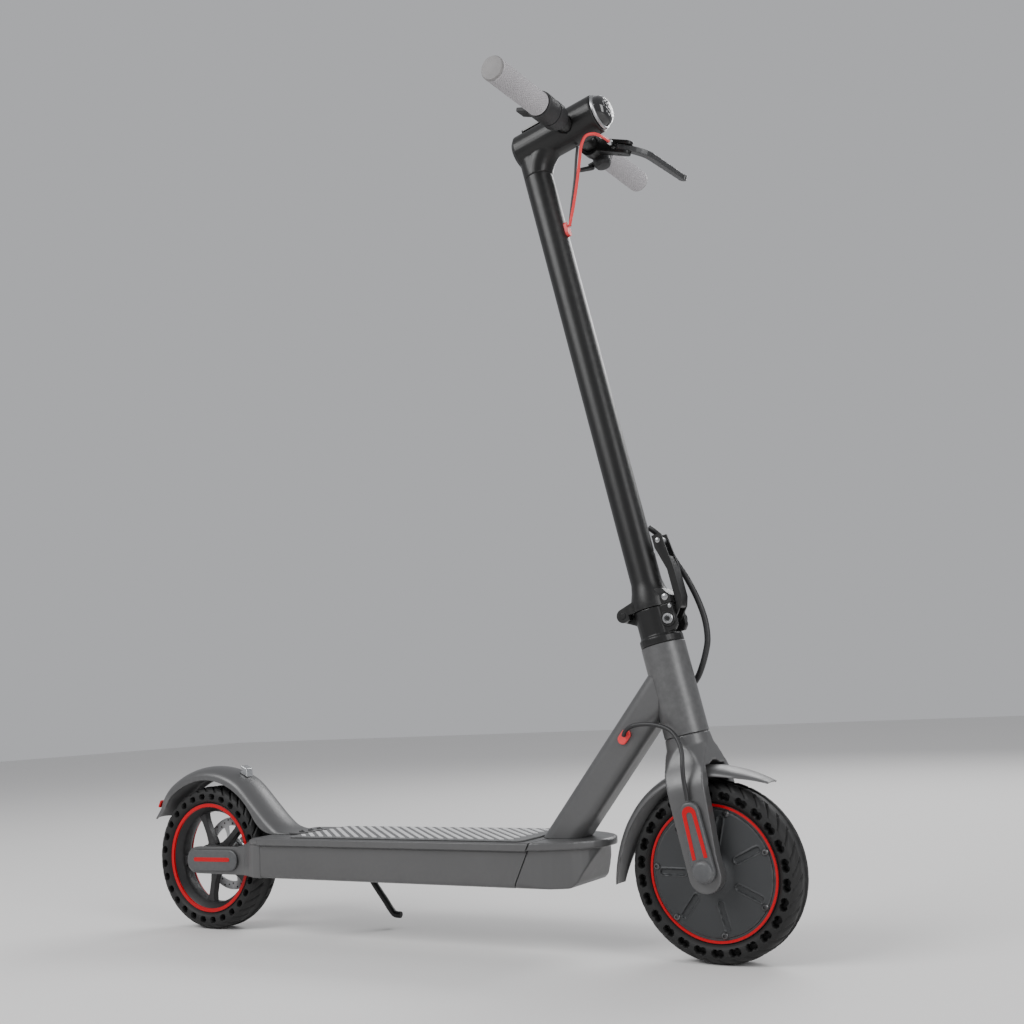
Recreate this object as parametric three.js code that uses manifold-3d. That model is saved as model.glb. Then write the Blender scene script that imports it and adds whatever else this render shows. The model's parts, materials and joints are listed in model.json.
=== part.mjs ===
// Folding electric kick scooter. Millimetres, +X forward, +Y to the rider's left, +Z up.
// Chassis parts are measured from the ground point under the rear axle. Steering parts are measured
// along the steering axis: x forward of it, y to the left, z up it from the height of the front axle.
import * as THREE from "three";
import { mergeVertices } from "three/addons/utils/BufferGeometryUtils.js";
import Module from "manifold-3d";

const wasm = await Module();
wasm.setup();

const radians = THREE.MathUtils.degToRad;

// ---------------------------------------------------------------- driving dimensions
const gap = 0.3; // clearance between two pieces that touch
const wheelbase = 840;
const tyreRadius = 108;
const tyreHalfWidth = 25;
const treadHalfWidth = 12;
const rimRadius = 83;
const rimHalfWidth = 20;
const wheelSides = 36;

const steeringTilt = radians(12);
const axleSetback = 5; // front axle behind the steering axis
const headTubeRadius = 28.7;
const headTubeLow = 167;
const headTubeLength = 117;
const steererRadius = 17;
const bearingRadius = 24;
const bearingHeight = 8;

const deckBottom = 87.4;
const deckHeight = 58.6;
const deckHalfWidth = 68;
const lipOverhang = 6.4;
const lipHeight = 10;
const deckRear = 150;
const deckLength = 448;
const noseLength = 100;
const noseOverhang = 11; // how far the lip stands out past the body at the tip
const wallThickness = 4;
const matThickness = 3;

const armInner = 40;
const armThickness = 8;
const rearAxleRadius = 6;
const discInner = 31;
const discThickness = 2;
const discRadius = 56;

const legInner = 34;
const legThickness = 18;
const frontAxleRadius = 6;

const downTubeDepth = 46;
const downTubeWidth = 50;
const downTubeCorner = 15;
const downTubeJoint = 242.1; // where the down tube meets the steering axis, above the axis's origin

const baseRadius = 26;
const baseHeight = 47.4;
const stemRadius = 20.5;
const stemWall = 3.5;
const stemLength = 639;
const foldPinBack = 36;
const foldPinRadius = 4;

const headRadius = 27;
const headCentreUp = 48; // head tube centre above the top of the stem
const headReach = 112;
const barForward = 69;
const barDrop = 5; // handlebar below the centre of the head
const barRadius = 11;
const barHalfLength = 215;
const gripRadius = 16.5;
const gripLength = 118;

const fenderThickness = 2.5;
const frontFenderRadius = 128;
const frontFenderHalfWidth = 31;

// heights and places that follow from them
const deckTop = deckBottom + deckHeight;
const deckFront = deckRear + deckLength;
const noseTip = deckFront + noseLength;
const lipHalfWidth = deckHalfWidth + lipOverhang;
const armOuter = armInner + armThickness;
const legOuter = legInner + legThickness;
const headTubeHigh = headTubeLow + headTubeLength;
const baseLow = headTubeHigh + gap;
const splitHeight = baseLow + baseHeight; // where the stem meets the folding base
const stemTop = splitHeight + gap + stemLength;
const headCentre = stemTop + gap + headCentreUp;
const barHeight = headCentre - barDrop;
const foldPinHeight = splitHeight + 1;
const steeringOrigin = new THREE.Vector3(
  wheelbase + axleSetback * Math.cos(steeringTilt),
  0,
  tyreRadius + axleSetback * Math.sin(steeringTilt),
);
const downTubeX = deckFront + 33; // centre of the tube where it meets the deck's top
const downTubeRun = steeringOrigin.x - downTubeJoint * Math.sin(steeringTilt) - downTubeX;
const downTubeRise = steeringOrigin.z + downTubeJoint * Math.cos(steeringTilt) - deckTop;
const downTubeAngle = Math.atan2(downTubeRise, downTubeRun);
const downTubeLength = Math.hypot(downTubeRun, downTubeRise); // from the deck's top to the steering axis

// ---------------------------------------------------------------- solids
function toSolid(geometry) {
  const bare = new THREE.BufferGeometry();
  bare.setAttribute("position", geometry.getAttribute("position"));
  bare.setIndex(geometry.index);
  const merged = mergeVertices(bare, 1e-4);
  const corners = [];
  const index = merged.index.array;
  for (let i = 0; i < index.length; i += 3) {
    const [a, b, c] = index.slice(i, i + 3);
    if (a !== b && b !== c && c !== a) corners.push(a, b, c);
  }
  const mesh = new wasm.Mesh({
    numProp: 3,
    vertProperties: merged.getAttribute("position").array,
    triVerts: new Uint32Array(corners),
  });
  return new wasm.Manifold(mesh);
}

function toGeometry(solid) {
  const mesh = solid.getMesh();
  const geometry = new THREE.BufferGeometry();
  geometry.setAttribute("position", new THREE.BufferAttribute(mesh.vertProperties, 3));
  geometry.setIndex(new THREE.BufferAttribute(mesh.triVerts, 1));
  return geometry;
}

function join(first, ...others) {
  return toGeometry(others.reduce((whole, next) => whole.add(toSolid(next)), toSolid(first)));
}

function cut(first, ...others) {
  return toGeometry(others.reduce((whole, next) => whole.subtract(toSolid(next)), toSolid(first)));
}

function meet(first, second) {
  return toGeometry(toSolid(first).intersect(toSolid(second)));
}

// A profile of [radius, height] turned about Z. It closes on itself, or starts and ends on the axis.
function turned(profile, sides = 32, start = 0) {
  const points = profile.map(([radius, height]) => new THREE.Vector2(radius, height));
  if (points[0].x > 0) points.push(points[0].clone());
  const area = points.reduce((sum, p, i) => {
    const next = points[(i + 1) % points.length];
    return sum + p.x * next.y - next.x * p.y;
  }, 0);
  if (area < 0) points.reverse();
  return new THREE.LatheGeometry(points, sides, start).rotateX(Math.PI / 2);
}

// The same profile turned about Y: each point is [radius, y]. A flat side faces the ground.
function wheelTurned(profile, sides = wheelSides) {
  const outward = 1 / Math.cos(Math.PI / sides);
  const points = profile.map(([radius, y]) => [radius * outward, -y]);
  return turned(points, sides, Math.PI / sides).rotateX(Math.PI / 2);
}

function rod(radius, low, high, sides = 24) {
  const length = high - low;
  return new THREE.CylinderGeometry(radius, radius, length, sides)
    .rotateX(Math.PI / 2)
    .translate(0, 0, (low + high) / 2);
}

function rodAcross(radius, low, high, x, z, sides = 24) {
  return rod(radius, -high, -low, sides)
    .rotateX(Math.PI / 2)
    .translate(x, 0, z);
}

function block(x0, x1, y0, y1, z0, z1) {
  return new THREE.BoxGeometry(x1 - x0, y1 - y0, z1 - z0).translate(
    (x0 + x1) / 2,
    (y0 + y1) / 2,
    (z0 + z1) / 2,
  );
}

function extruded(shape, depth, curveSegments) {
  return new THREE.ExtrudeGeometry(shape, { depth, curveSegments, bevelEnabled: false });
}

// An outline in x and z, extruded from y0 to y1.
function sidePlate(shape, y0, y1, curveSegments = 8) {
  return extruded(shape, y1 - y0, curveSegments)
    .rotateX(Math.PI / 2)
    .translate(0, y1, 0);
}

// An outline in x and y, extruded from z0 to z1.
function topPlate(shape, z0, z1, curveSegments = 8) {
  return extruded(shape, z1 - z0, curveSegments).translate(0, 0, z0);
}

// An outline in y and z, extruded from x0 to x1.
function frontPlate(shape, x0, x1, curveSegments = 8) {
  const turn = new THREE.Matrix4().makeBasis(
    new THREE.Vector3(0, 1, 0),
    new THREE.Vector3(0, 0, 1),
    new THREE.Vector3(1, 0, 0),
  );
  return extruded(shape, x1 - x0, curveSegments)
    .applyMatrix4(turn)
    .translate(x0, 0, 0);
}

function polygon(points) {
  return new THREE.Shape(points.map(([u, v]) => new THREE.Vector2(u, v)));
}

function roundedRectangle(width, height, corner, u = 0, v = 0) {
  const shape = new THREE.Shape();
  const right = width / 2 - corner;
  const top = height / 2 - corner;
  shape.absarc(u + right, v + top, corner, 0, Math.PI / 2);
  shape.absarc(u - right, v + top, corner, Math.PI / 2, Math.PI);
  shape.absarc(u - right, v - top, corner, Math.PI, 1.5 * Math.PI);
  shape.absarc(u + right, v - top, corner, 1.5 * Math.PI, 2 * Math.PI);
  return shape;
}

// The outline round two circles, as a link plate has.
function link([u0, v0, r0], [u1, v1, r1]) {
  const along = Math.atan2(v1 - v0, u1 - u0);
  const lean = Math.acos((r0 - r1) / Math.hypot(u1 - u0, v1 - v0));
  const shape = new THREE.Shape();
  shape.absarc(u0, v0, r0, along + lean, along - lean + 2 * Math.PI);
  shape.absarc(u1, v1, r1, along - lean, along + lean);
  return shape;
}

function cable(points, diameter, steps, sides = 8) {
  const route = new THREE.CatmullRomCurve3(points.map((p) => new THREE.Vector3(...p)));
  const section = new THREE.Shape();
  for (let i = 0; i < sides; i++) {
    const angle = (2 * Math.PI * i) / sides;
    const u = (diameter / 2) * Math.cos(angle);
    const v = (diameter / 2) * Math.sin(angle);
    if (i === 0) section.moveTo(u, v);
    else section.lineTo(u, v);
  }
  return new THREE.ExtrudeGeometry(section, { extrudePath: route, steps, bevelEnabled: false });
}

function copyAt(geometry, x, y, z) {
  return geometry.clone().translate(x, y, z);
}

// The same solid on the other side of the scooter's middle plane.
function mirrored(geometry) {
  const other = geometry.index ? geometry.toNonIndexed() : geometry.clone();
  const places = other.getAttribute("position");
  for (let i = 0; i < places.count; i += 3) {
    const [a, b, c] = [0, 2, 1].map((k) => new THREE.Vector3().fromBufferAttribute(places, i + k));
    [a, b, c].forEach((p, k) => places.setXYZ(i + k, p.x, -p.y, p.z));
  }
  const bare = new THREE.BufferGeometry();
  bare.setAttribute("position", places);
  return mergeVertices(bare, 1e-4);
}

// ---------------------------------------------------------------- scene graph
const finishes = {
  frameGrey: { color: 0x616365, roughness: 0.45, metalness: 0.6 },
  satinBlack: { color: 0x1c1c1d, roughness: 0.42, metalness: 0.4 },
  plasticBlack: { color: 0x161617, roughness: 0.6, metalness: 0 },
  rubber: { color: 0x151516, roughness: 0.85, metalness: 0 },
  matGrey: { color: 0x8d8f92, roughness: 0.8, metalness: 0 },
  gripGrey: { color: 0xb9b7ba, roughness: 0.7, metalness: 0 },
  steel: { color: 0x9a9c9f, roughness: 0.35, metalness: 1 },
  hubGrey: { color: 0x3f4143, roughness: 0.55, metalness: 0.5 },
  red: { color: 0xe0303a, roughness: 0.5, metalness: 0 },
  lens: { color: 0x30343a, roughness: 0.1, metalness: 0 },
  batteryBlue: { color: 0x2c5aa0, roughness: 0.5, metalness: 0 },
};

const scooter = new THREE.Group();
const steering = new THREE.Group();
steering.position.copy(steeringOrigin);
steering.rotation.y = -steeringTilt;
scooter.add(steering);

function add(parent, name, geometry, finish) {
  const mesh = new THREE.Mesh(geometry, new THREE.MeshStandardMaterial(finishes[finish]));
  mesh.name = name;
  parent.add(mesh);
  return mesh;
}

// ---------------------------------------------------------------- deck
// Half outline of the deck's section in y and z, from the middle of the bottom to the middle of the top.
function deckSection(halfWidth, overhang, top) {
  const bottomCorner = 7;
  const underLip = top - lipHeight;
  const half = [
    [halfWidth - bottomCorner, deckBottom],
    [halfWidth - 2, deckBottom + 2],
    [halfWidth, deckBottom + bottomCorner],
    [halfWidth, underLip - overhang / 2],
    [halfWidth + overhang, underLip],
    [halfWidth + overhang, top - 2],
    [halfWidth + overhang - 2, top],
  ];
  return polygon([...half, ...half.map(([y, z]) => [-y, z]).reverse()]);
}

const seamSlope = 30; // the seam between tray and front casting leans forward over the deck's height
const portX = deckFront - 70;
const portZ = deckBottom + 25;
const portRadius = 9;
const coverWidth = 2 * (deckHalfWidth - wallThickness - 3);
const coverRear = deckRear + 8;
const coverFront = deckFront - seamSlope - 14;

function seamSide(x, ahead) {
  const far = ahead ? 200 : -700;
  return sidePlate(
    polygon([
      [x - seamSlope / 2, deckBottom - 1],
      [x + seamSlope / 2, deckTop + 1],
      [x + far, deckTop + 1],
      [x + far, deckBottom - 1],
    ]),
    -lipHalfWidth - 1,
    lipHalfWidth + 1,
  );
}

const standX = 240;
const standY = deckHalfWidth - 2; // outer face of the lug
const standZ = deckBottom - 9;
const standLug = 4.5;

// The lug under the tray's left wall that the kickstand turns against.
function makeStandLug() {
  return block(standX - 9, standX + 9, standY - standLug, standY, standZ - 8, deckBottom + 8);
}

function makeDeckTray() {
  const section = deckSection(deckHalfWidth, lipOverhang, deckTop);
  const whole = frontPlate(section, deckRear + gap, deckFront + seamSlope);
  const hollow = block(
    coverRear - gap,
    coverFront + gap,
    -coverWidth / 2 - gap,
    coverWidth / 2 + gap,
    deckBottom - 1,
    deckTop - wallThickness,
  );
  const port = rodAcross(portRadius, coverWidth / 2 - 2, lipHalfWidth, portX, portZ);
  return join(cut(whole, seamSide(deckFront, true), hollow, port), makeStandLug());
}

// The nose casting seen from above, from the seam round to the tip.
function castingPlan(halfWidth, tip) {
  const plan = new THREE.Shape();
  const start = deckFront - seamSlope;
  plan.moveTo(start, -halfWidth);
  plan.lineTo(deckFront, -halfWidth);
  plan.bezierCurveTo(deckFront + 50, -halfWidth, tip, -38, tip, 0);
  plan.bezierCurveTo(tip, 38, deckFront + 50, halfWidth, deckFront, halfWidth);
  plan.lineTo(start, halfWidth);
  return plan;
}

function makeFrontCasting() {
  const start = deckFront - seamSlope;
  const underLip = deckTop - lipHeight;
  const bodyTip = noseTip - noseOverhang;
  const lipSide = polygon([
    [start, underLip],
    [noseTip - 2, underLip],
    [noseTip, underLip + 3],
    [noseTip, deckTop - 3],
    [noseTip - 4, deckTop],
    [start, deckTop],
  ]);
  const bodySide = polygon([
    [start, deckBottom],
    [bodyTip - 30, deckBottom],
    [bodyTip - 22, deckBottom + 6],
    [bodyTip, underLip],
    [bodyTip, deckTop - 1],
    [start, deckTop - 1],
  ]);
  const wide = lipHalfWidth + 1;
  const lip = meet(
    topPlate(castingPlan(lipHalfWidth, noseTip), underLip, deckTop, 10),
    sidePlate(lipSide, -wide, wide),
  );
  const body = meet(
    topPlate(castingPlan(deckHalfWidth, bodyTip), deckBottom, deckTop - 1, 10),
    sidePlate(bodySide, -wide, wide),
  );
  const section = frontPlate(deckSection(deckHalfWidth, lipOverhang, deckTop), start, noseTip + 1);
  return cut(meet(join(lip, body), section), seamSide(deckFront + gap, false));
}

const matRear = deckRear + 54;
const tubeRear = downTubeX - downTubeDepth / 2 / Math.sin(downTubeAngle); // back of the down tube's foot
const matFront = Math.min(deckFront, tubeRear - 3);
const matHalfWidth = deckHalfWidth - 1;

function makeMat() {
  const plan = roundedRectangle(
    matFront - matRear,
    2 * matHalfWidth,
    10,
    (matRear + matFront) / 2,
    0,
  );
  return topPlate(plan, deckTop + gap, deckTop + gap + matThickness, 4);
}

add(scooter, "deck_tray", makeDeckTray(), "frameGrey");
add(scooter, "front_casting", makeFrontCasting(), "frameGrey");
add(scooter, "deck_mat", makeMat(), "matGrey");
add(
  scooter,
  "bottom_cover",
  block(coverRear, coverFront, -coverWidth / 2, coverWidth / 2, deckBottom, deckBottom + 3),
  "plasticBlack",
);

const trayFloor = deckBottom + 3 + gap;
const batteryLength = 290;
const batteryHeight = 44;
const controllerLength = 78;

function makeBattery() {
  const middle = coverRear + 8 + batteryLength / 2;
  const plan = roundedRectangle(batteryLength, coverWidth - 20, 8, middle, 0);
  return topPlate(plan, trayFloor, trayFloor + batteryHeight, 3);
}

const controllerRear = coverRear + 8 + batteryLength + 12;

function makeController() {
  const front = controllerRear + controllerLength;
  const halfWidth = coverWidth / 2 - 22;
  const box = block(controllerRear, front, -halfWidth, halfWidth, trayFloor, trayFloor + 24);
  const fins = [0, 1, 2, 3].map((i) => {
    const x = controllerRear + 10 + i * 18;
    return block(x, x + 4, -halfWidth + 4, halfWidth - 4, trayFloor + 23, trayFloor + 30);
  });
  return join(box, ...fins);
}

add(scooter, "battery_pack", makeBattery(), "batteryBlue");
add(scooter, "controller", makeController(), "steel");

// The charging socket sits in the left wall behind a rubber flap hinged at its top.
const socketBore = 5.2;
const flapHinge = portZ + 13;
const socketInner = coverWidth / 2 + gap;

function makeSocket() {
  const body = rodAcross(portRadius - gap, socketInner, deckHalfWidth - 0.5, portX, portZ);
  const bore = rodAcross(socketBore, socketInner - 1, deckHalfWidth, portX, portZ);
  return cut(body, bore);
}

function makeFlap() {
  const plan = link([portX, portZ, 11], [portX, flapHinge - 2, 6]);
  return sidePlate(plan, deckHalfWidth + gap, deckHalfWidth + 2.5, 6);
}

add(scooter, "charge_socket", makeSocket(), "plasticBlack");
add(scooter, "charge_flap", makeFlap(), "rubber");

// ---------------------------------------------------------------- rear casting, axle and its covers
const armHeight = 40;
const armTop = tyreRadius + armHeight / 2;
const lipTaper = 26; // length over which the lip runs out into the casting
const wheelRoom = tyreRadius + 9;
const coverRadius = 15.5;
const coverLength = 72;
const coverEnd = coverLength + coverRadius + 2;

function makeRearCasting() {
  const plan = new THREE.Shape();
  plan.moveTo(-armHeight / 2, -armOuter);
  plan.lineTo(coverEnd, -armOuter);
  plan.bezierCurveTo(coverEnd + 20, -armOuter, deckRear - 26, -deckHalfWidth, deckRear - 2, -deckHalfWidth);
  plan.lineTo(deckRear, -deckHalfWidth);
  plan.lineTo(deckRear, deckHalfWidth);
  plan.lineTo(deckRear - 2, deckHalfWidth);
  plan.bezierCurveTo(deckRear - 26, deckHalfWidth, coverEnd + 20, armOuter, coverEnd, armOuter);
  plan.lineTo(-armHeight / 2, armOuter);
  plan.lineTo(-armHeight / 2, armInner);
  plan.lineTo(wheelRoom - 14, armInner);
  plan.bezierCurveTo(wheelRoom, armInner, wheelRoom, 30, wheelRoom, 20);
  plan.lineTo(wheelRoom, -20);
  plan.bezierCurveTo(wheelRoom, -30, wheelRoom, -armInner, wheelRoom - 14, -armInner);
  plan.lineTo(-armHeight / 2, -armInner);
  const side = new THREE.Shape();
  side.moveTo(0, tyreRadius - armHeight / 2);
  side.lineTo(deckRear, deckBottom);
  side.lineTo(deckRear, deckTop);
  side.lineTo(deckRear - 8, deckTop);
  side.bezierCurveTo(deckRear - 24, deckTop, 112, armTop + 4, 82, armTop + 1);
  side.lineTo(0, armTop);
  side.absarc(0, tyreRadius, armHeight / 2, Math.PI / 2, 1.5 * Math.PI);
  const lip = topPlate(
    polygon([
      [deckRear, -lipHalfWidth],
      [deckRear, lipHalfWidth],
      [deckRear - lipTaper, deckHalfWidth - 4],
      [deckRear - lipTaper, 4 - deckHalfWidth],
    ]),
    deckTop - lipHeight,
    deckTop + 1,
  );
  const shaped = meet(
    join(topPlate(plan, deckBottom - 1, deckTop + 1, 5), lip),
    sidePlate(side, -lipHalfWidth, lipHalfWidth, 6),
  );
  return cut(shaped, rodAcross(rearAxleRadius + gap, -lipHalfWidth, lipHalfWidth, 0, tyreRadius));
}


function makeRearAxleCover() {
  const plan = link([0, tyreRadius, coverRadius], [coverLength, tyreRadius + 1, coverRadius]);
  return sidePlate(plan, armOuter + gap, armOuter + 4, 7);
}

add(scooter, "rear_casting", makeRearCasting(), "frameGrey");
add(
  scooter,
  "rear_axle",
  rodAcross(rearAxleRadius, -armOuter + gap, armOuter - gap, 0, tyreRadius),
  "steel",
);
add(scooter, "rear_cover_left", makeRearAxleCover(), "frameGrey");
add(scooter, "rear_cover_right", mirrored(makeRearAxleCover()), "frameGrey");

// ---------------------------------------------------------------- tyres
function makeTyre() {
  const bead = rimRadius + gap;
  const half = [
    [bead, rimHalfWidth - 1],
    [bead + 5, tyreHalfWidth - 1],
    [bead + 9, tyreHalfWidth],
    [tyreRadius - 9, tyreHalfWidth - 0.5],
    [tyreRadius - 3, tyreHalfWidth - 6],
    [tyreRadius, treadHalfWidth],
  ];
  return wheelTurned([...half, ...half.map(([r, y]) => [r, -y]).reverse()]);
}

add(scooter, "rear_tyre", makeTyre().translate(0, 0, tyreRadius), "rubber");
add(scooter, "front_tyre", makeTyre().translate(wheelbase, 0, tyreRadius), "rubber");

// ---------------------------------------------------------------- rear wheel
const hubRadius = 20;
const hubBore = 14;
const rimInner = 69;
const spokeCount = 5;
const firstSpoke = radians(43);
const bearingWidth = 10;
const bearingOffset = 14;
const bearingSides = 20;

function makeRearRim() {
  const band = wheelTurned([
    [rimRadius, -rimHalfWidth],
    [rimRadius, rimHalfWidth],
    [rimRadius - 5, rimHalfWidth],
    [rimInner, 7],
    [rimInner, -7],
    [rimRadius - 5, -rimHalfWidth],
  ]);
  const hub = wheelTurned([
    [hubBore, -bearingOffset - bearingWidth],
    [hubRadius, -bearingOffset - bearingWidth],
    [hubRadius, discInner - gap],
    [hubBore, discInner - gap],
  ]);
  const spokes = [];
  for (let i = 0; i < spokeCount; i++) {
    const spoke = block(hubRadius - 3, rimInner + 3, -5, 5, -5.5, 5.5);
    spokes.push(spoke.rotateY(-firstSpoke - (2 * Math.PI * i) / spokeCount));
  }
  return join(band, hub, ...spokes);
}

function makeRearBearing() {
  const race = [
    [rearAxleRadius + gap, bearingOffset],
    [hubBore - 1, bearingOffset],
    [hubBore - 1, bearingOffset + bearingWidth],
    [rearAxleRadius + gap, bearingOffset + bearingWidth],
  ];
  return wheelTurned(race, bearingSides);
}

function makeDisc() {
  return wheelTurned([
    [hubBore, discInner],
    [discRadius, discInner],
    [discRadius, discInner + discThickness],
    [hubBore, discInner + discThickness],
  ]);
}

add(scooter, "rear_rim", copyAt(makeRearRim(), 0, 0, tyreRadius), "hubGrey");
add(scooter, "rear_bearing_left", copyAt(makeRearBearing(), 0, 0, tyreRadius), "steel");
add(scooter, "rear_bearing_right", mirrored(copyAt(makeRearBearing(), 0, 0, tyreRadius)), "steel");
add(scooter, "brake_disc", copyAt(makeDisc(), 0, 0, tyreRadius), "steel");

// ---------------------------------------------------------------- disc brake caliper
const caliperAngle = radians(40);
const caliperRadius = 56;
const caliperX = caliperRadius * Math.cos(caliperAngle);
const caliperZ = tyreRadius + caliperRadius * Math.sin(caliperAngle);
const padGap = 0.6;
const caliperArmLength = 30;

function makeCaliper() {
  const inner = discInner - 8;
  const outer = armInner - 0.8;
  const body = sidePlate(roundedRectangle(46, 30, 6), inner, outer, 3);
  const slot = block(-24, 24, discInner - padGap, discInner + discThickness + padGap, -16, 7);
  const turn = (piece) => piece.rotateY(Math.PI / 2 - caliperAngle).translate(caliperX, 0, caliperZ);
  const foot = sidePlate(
    polygon([
      [caliperX + 4, tyreRadius + 4],
      [caliperX + 30, tyreRadius + 4],
      [caliperX + 26, caliperZ - 4],
      [caliperX + 6, caliperZ],
    ]),
    discInner + discThickness + padGap,
    outer,
  );
  return cut(join(turn(body), foot), turn(slot));
}

function makeCaliperArm() {
  const plan = link(
    [caliperX, caliperZ, 7],
    [caliperX - caliperArmLength * 0.94, caliperZ + caliperArmLength * 0.34, 4.5],
  );
  return sidePlate(plan, armInner - 0.5, armInner + 3.5, 6);
}

add(scooter, "caliper", makeCaliper(), "satinBlack");
add(scooter, "caliper_arm", makeCaliperArm(), "steel");

// ---------------------------------------------------------------- rear fender, hook and tail light
const fenderRadius = 139;
const skirtRadius = 119;
const fenderHalfWidth = 31;
const fenderFoot = 176;
const fenderEnd = 200;
const fenderTailAngle = radians(140);
const lightThickness = 4;
const lightHeight = 12;
const lightHalfWidth = 16;
const tailX = -121;
const tailZ = tyreRadius + 62;

// The fender's crown in x and z, drawn from the tail to the flange on the deck and set in by inset.
function fenderCrown(shape, inset) {
  const radius = fenderRadius - inset;
  const leave = radians(62);
  shape.moveTo(tailX + inset, tailZ);
  shape.lineTo(radius * Math.cos(fenderTailAngle), tyreRadius + radius * Math.sin(fenderTailAngle));
  shape.absarc(0, tyreRadius, radius, fenderTailAngle, leave, true);
  const x = radius * Math.cos(leave);
  const z = tyreRadius + radius * Math.sin(leave);
  shape.bezierCurveTo(
    x + 31,
    z - 16,
    fenderFoot - 36 - inset,
    deckTop + gap + matThickness,
    fenderFoot - inset,
    deckTop + gap + matThickness - inset,
  );
}

function makeRearFender() {
  const low = deckTop + gap;
  const deckAngle = Math.asin((low - tyreRadius) / skirtRadius);
  const outline = new THREE.Shape();
  fenderCrown(outline, 0);
  outline.lineTo(fenderEnd, low + matThickness);
  outline.lineTo(fenderEnd, low);
  outline.absarc(0, tyreRadius, skirtRadius, deckAngle, radians(135), false);
  outline.lineTo(skirtRadius * Math.cos(radians(135)), tailZ - 4);
  outline.lineTo(tailX + 6, tailZ - 4);
  const hollow = new THREE.Shape();
  fenderCrown(hollow, fenderThickness);
  hollow.lineTo(fenderFoot - 30, low - 1);
  hollow.lineTo(tailX + fenderThickness, low - 1);
  const inside = fenderHalfWidth - fenderThickness;
  return cut(
    sidePlate(outline, -fenderHalfWidth, fenderHalfWidth, 14),
    sidePlate(hollow, -inside, inside, 14),
  );
}

const hookAngle = radians(64);
const hookX = (fenderRadius + gap) * Math.cos(hookAngle);
const hookZ = tyreRadius + (fenderRadius + gap) * Math.sin(hookAngle);

function makeFenderHook() {
  const outline = polygon([
    [-9, 0],
    [9, 0],
    [6, 5],
    [2, 11],
    [-10, 11],
    [-10, 7.5],
    [-4, 7],
    [-6, 3],
  ]);
  return sidePlate(outline, -7, 7).rotateY(Math.PI / 2 - hookAngle).translate(hookX, 0, hookZ);
}

// The light sits on the straight slope between the fender's tail and its crown, facing back.
function makeTailLight() {
  const crownX = fenderRadius * Math.cos(fenderTailAngle);
  const crownZ = tyreRadius + fenderRadius * Math.sin(fenderTailAngle);
  const slope = Math.atan2(crownZ - tailZ, crownX - tailX);
  return sidePlate(roundedRectangle(lightThickness, lightHeight, 1.5), -lightHalfWidth, lightHalfWidth, 3)
    .translate(-lightThickness / 2 - gap, 0, 0)
    .rotateY(Math.PI / 2 - slope)
    .translate((tailX + 2 * crownX) / 3, 0, (tailZ + 2 * crownZ) / 3);
}

add(scooter, "rear_fender", makeRearFender(), "frameGrey");
add(scooter, "fender_hook", makeFenderHook(), "steel");
add(scooter, "tail_light", makeTailLight(), "red");

// ---------------------------------------------------------------- kickstand
const standRadius = 5;

// The leg leans forward and outward from its pivot, and its foot turns forward near the ground.
function makeStand() {
  const inner = standY + gap;
  const eye = rodAcross(8, inner, inner + 8, standX, standZ, 16);
  const leg = cable(
    [
      [standX, inner + 5.5, standZ],
      [standX + 12, inner + 7, standZ - 18],
      [standX + 26, inner + 10, standZ - 38],
      [standX + 37, inner + 12, standZ - 54],
      [standX + 43, inner + 12.5, standZ - 59.5],
      [standX + 54, inner + 13, standZ - 60.5],
    ],
    2 * standRadius,
    24,
  );
  return join(eye, leg);
}

add(scooter, "kickstand", makeStand(), "satinBlack");

// ---------------------------------------------------------------- down tube and head tube
function toSteering(geometry) {
  steering.updateMatrixWorld(true);
  return geometry.applyMatrix4(steering.matrixWorld);
}

// Moves a piece drawn about the down tube's centre line, which it has as its own z axis, into place.
function toDownTube(geometry) {
  return geometry.rotateY(Math.PI / 2 - downTubeAngle).translate(downTubeX, 0, deckTop);
}

function makeDownTube() {
  const section = roundedRectangle(downTubeDepth, downTubeWidth, downTubeCorner);
  const tube = toDownTube(topPlate(section, -60, downTubeLength - 4, 5));
  const below = block(deckRear, noseTip, -60, 60, 0, deckTop + gap);
  const around = toSteering(rod(headTubeRadius + gap, headTubeLow, headTubeHigh, 30));
  return cut(tube, below, around);
}

const bearingSeat = bearingHeight + gap;

function makeHeadTube() {
  const inner = steererRadius + 3;
  return turned(
    [
      [headTubeRadius, headTubeLow + gap],
      [headTubeRadius, headTubeHigh],
      [bearingRadius + gap, headTubeHigh],
      [bearingRadius + gap, headTubeHigh - bearingSeat],
      [inner, headTubeHigh - bearingSeat],
      [inner, headTubeLow + bearingSeat + gap],
      [bearingRadius + gap, headTubeLow + bearingSeat + gap],
      [bearingRadius + gap, headTubeLow + gap],
    ],
    30,
  );
}

function makeHeadsetBearing(low) {
  return turned(
    [
      [steererRadius + gap, low],
      [bearingRadius, low],
      [bearingRadius, low + bearingHeight],
      [steererRadius + gap, low + bearingHeight],
    ],
    32,
  );
}

const downGrommetAlong = 165;

function makeDownTubeGrommet() {
  const outline = roundedRectangle(13, 21, 6.4);
  const plate = sidePlate(outline, -downTubeWidth / 2 - 4, -downTubeWidth / 2 - gap, 4);
  return toDownTube(plate.translate(0, 0, downGrommetAlong));
}

add(scooter, "down_tube", makeDownTube(), "frameGrey");
add(steering, "head_tube", makeHeadTube(), "frameGrey");
add(steering, "headset_lower", makeHeadsetBearing(headTubeLow + gap), "steel");
add(steering, "headset_upper", makeHeadsetBearing(headTubeHigh - bearingHeight), "steel");
add(scooter, "downtube_grommet", makeDownTubeGrommet(), "red");

// ---------------------------------------------------------------- fork
const crownTop = headTubeLow;
const archTop = tyreRadius + 22;
const legRadius = 21;
const shoulder = archTop;
const shoulderHalf = 39;
const legCentre = -3;
const steererTop = splitHeight - 13;

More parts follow.
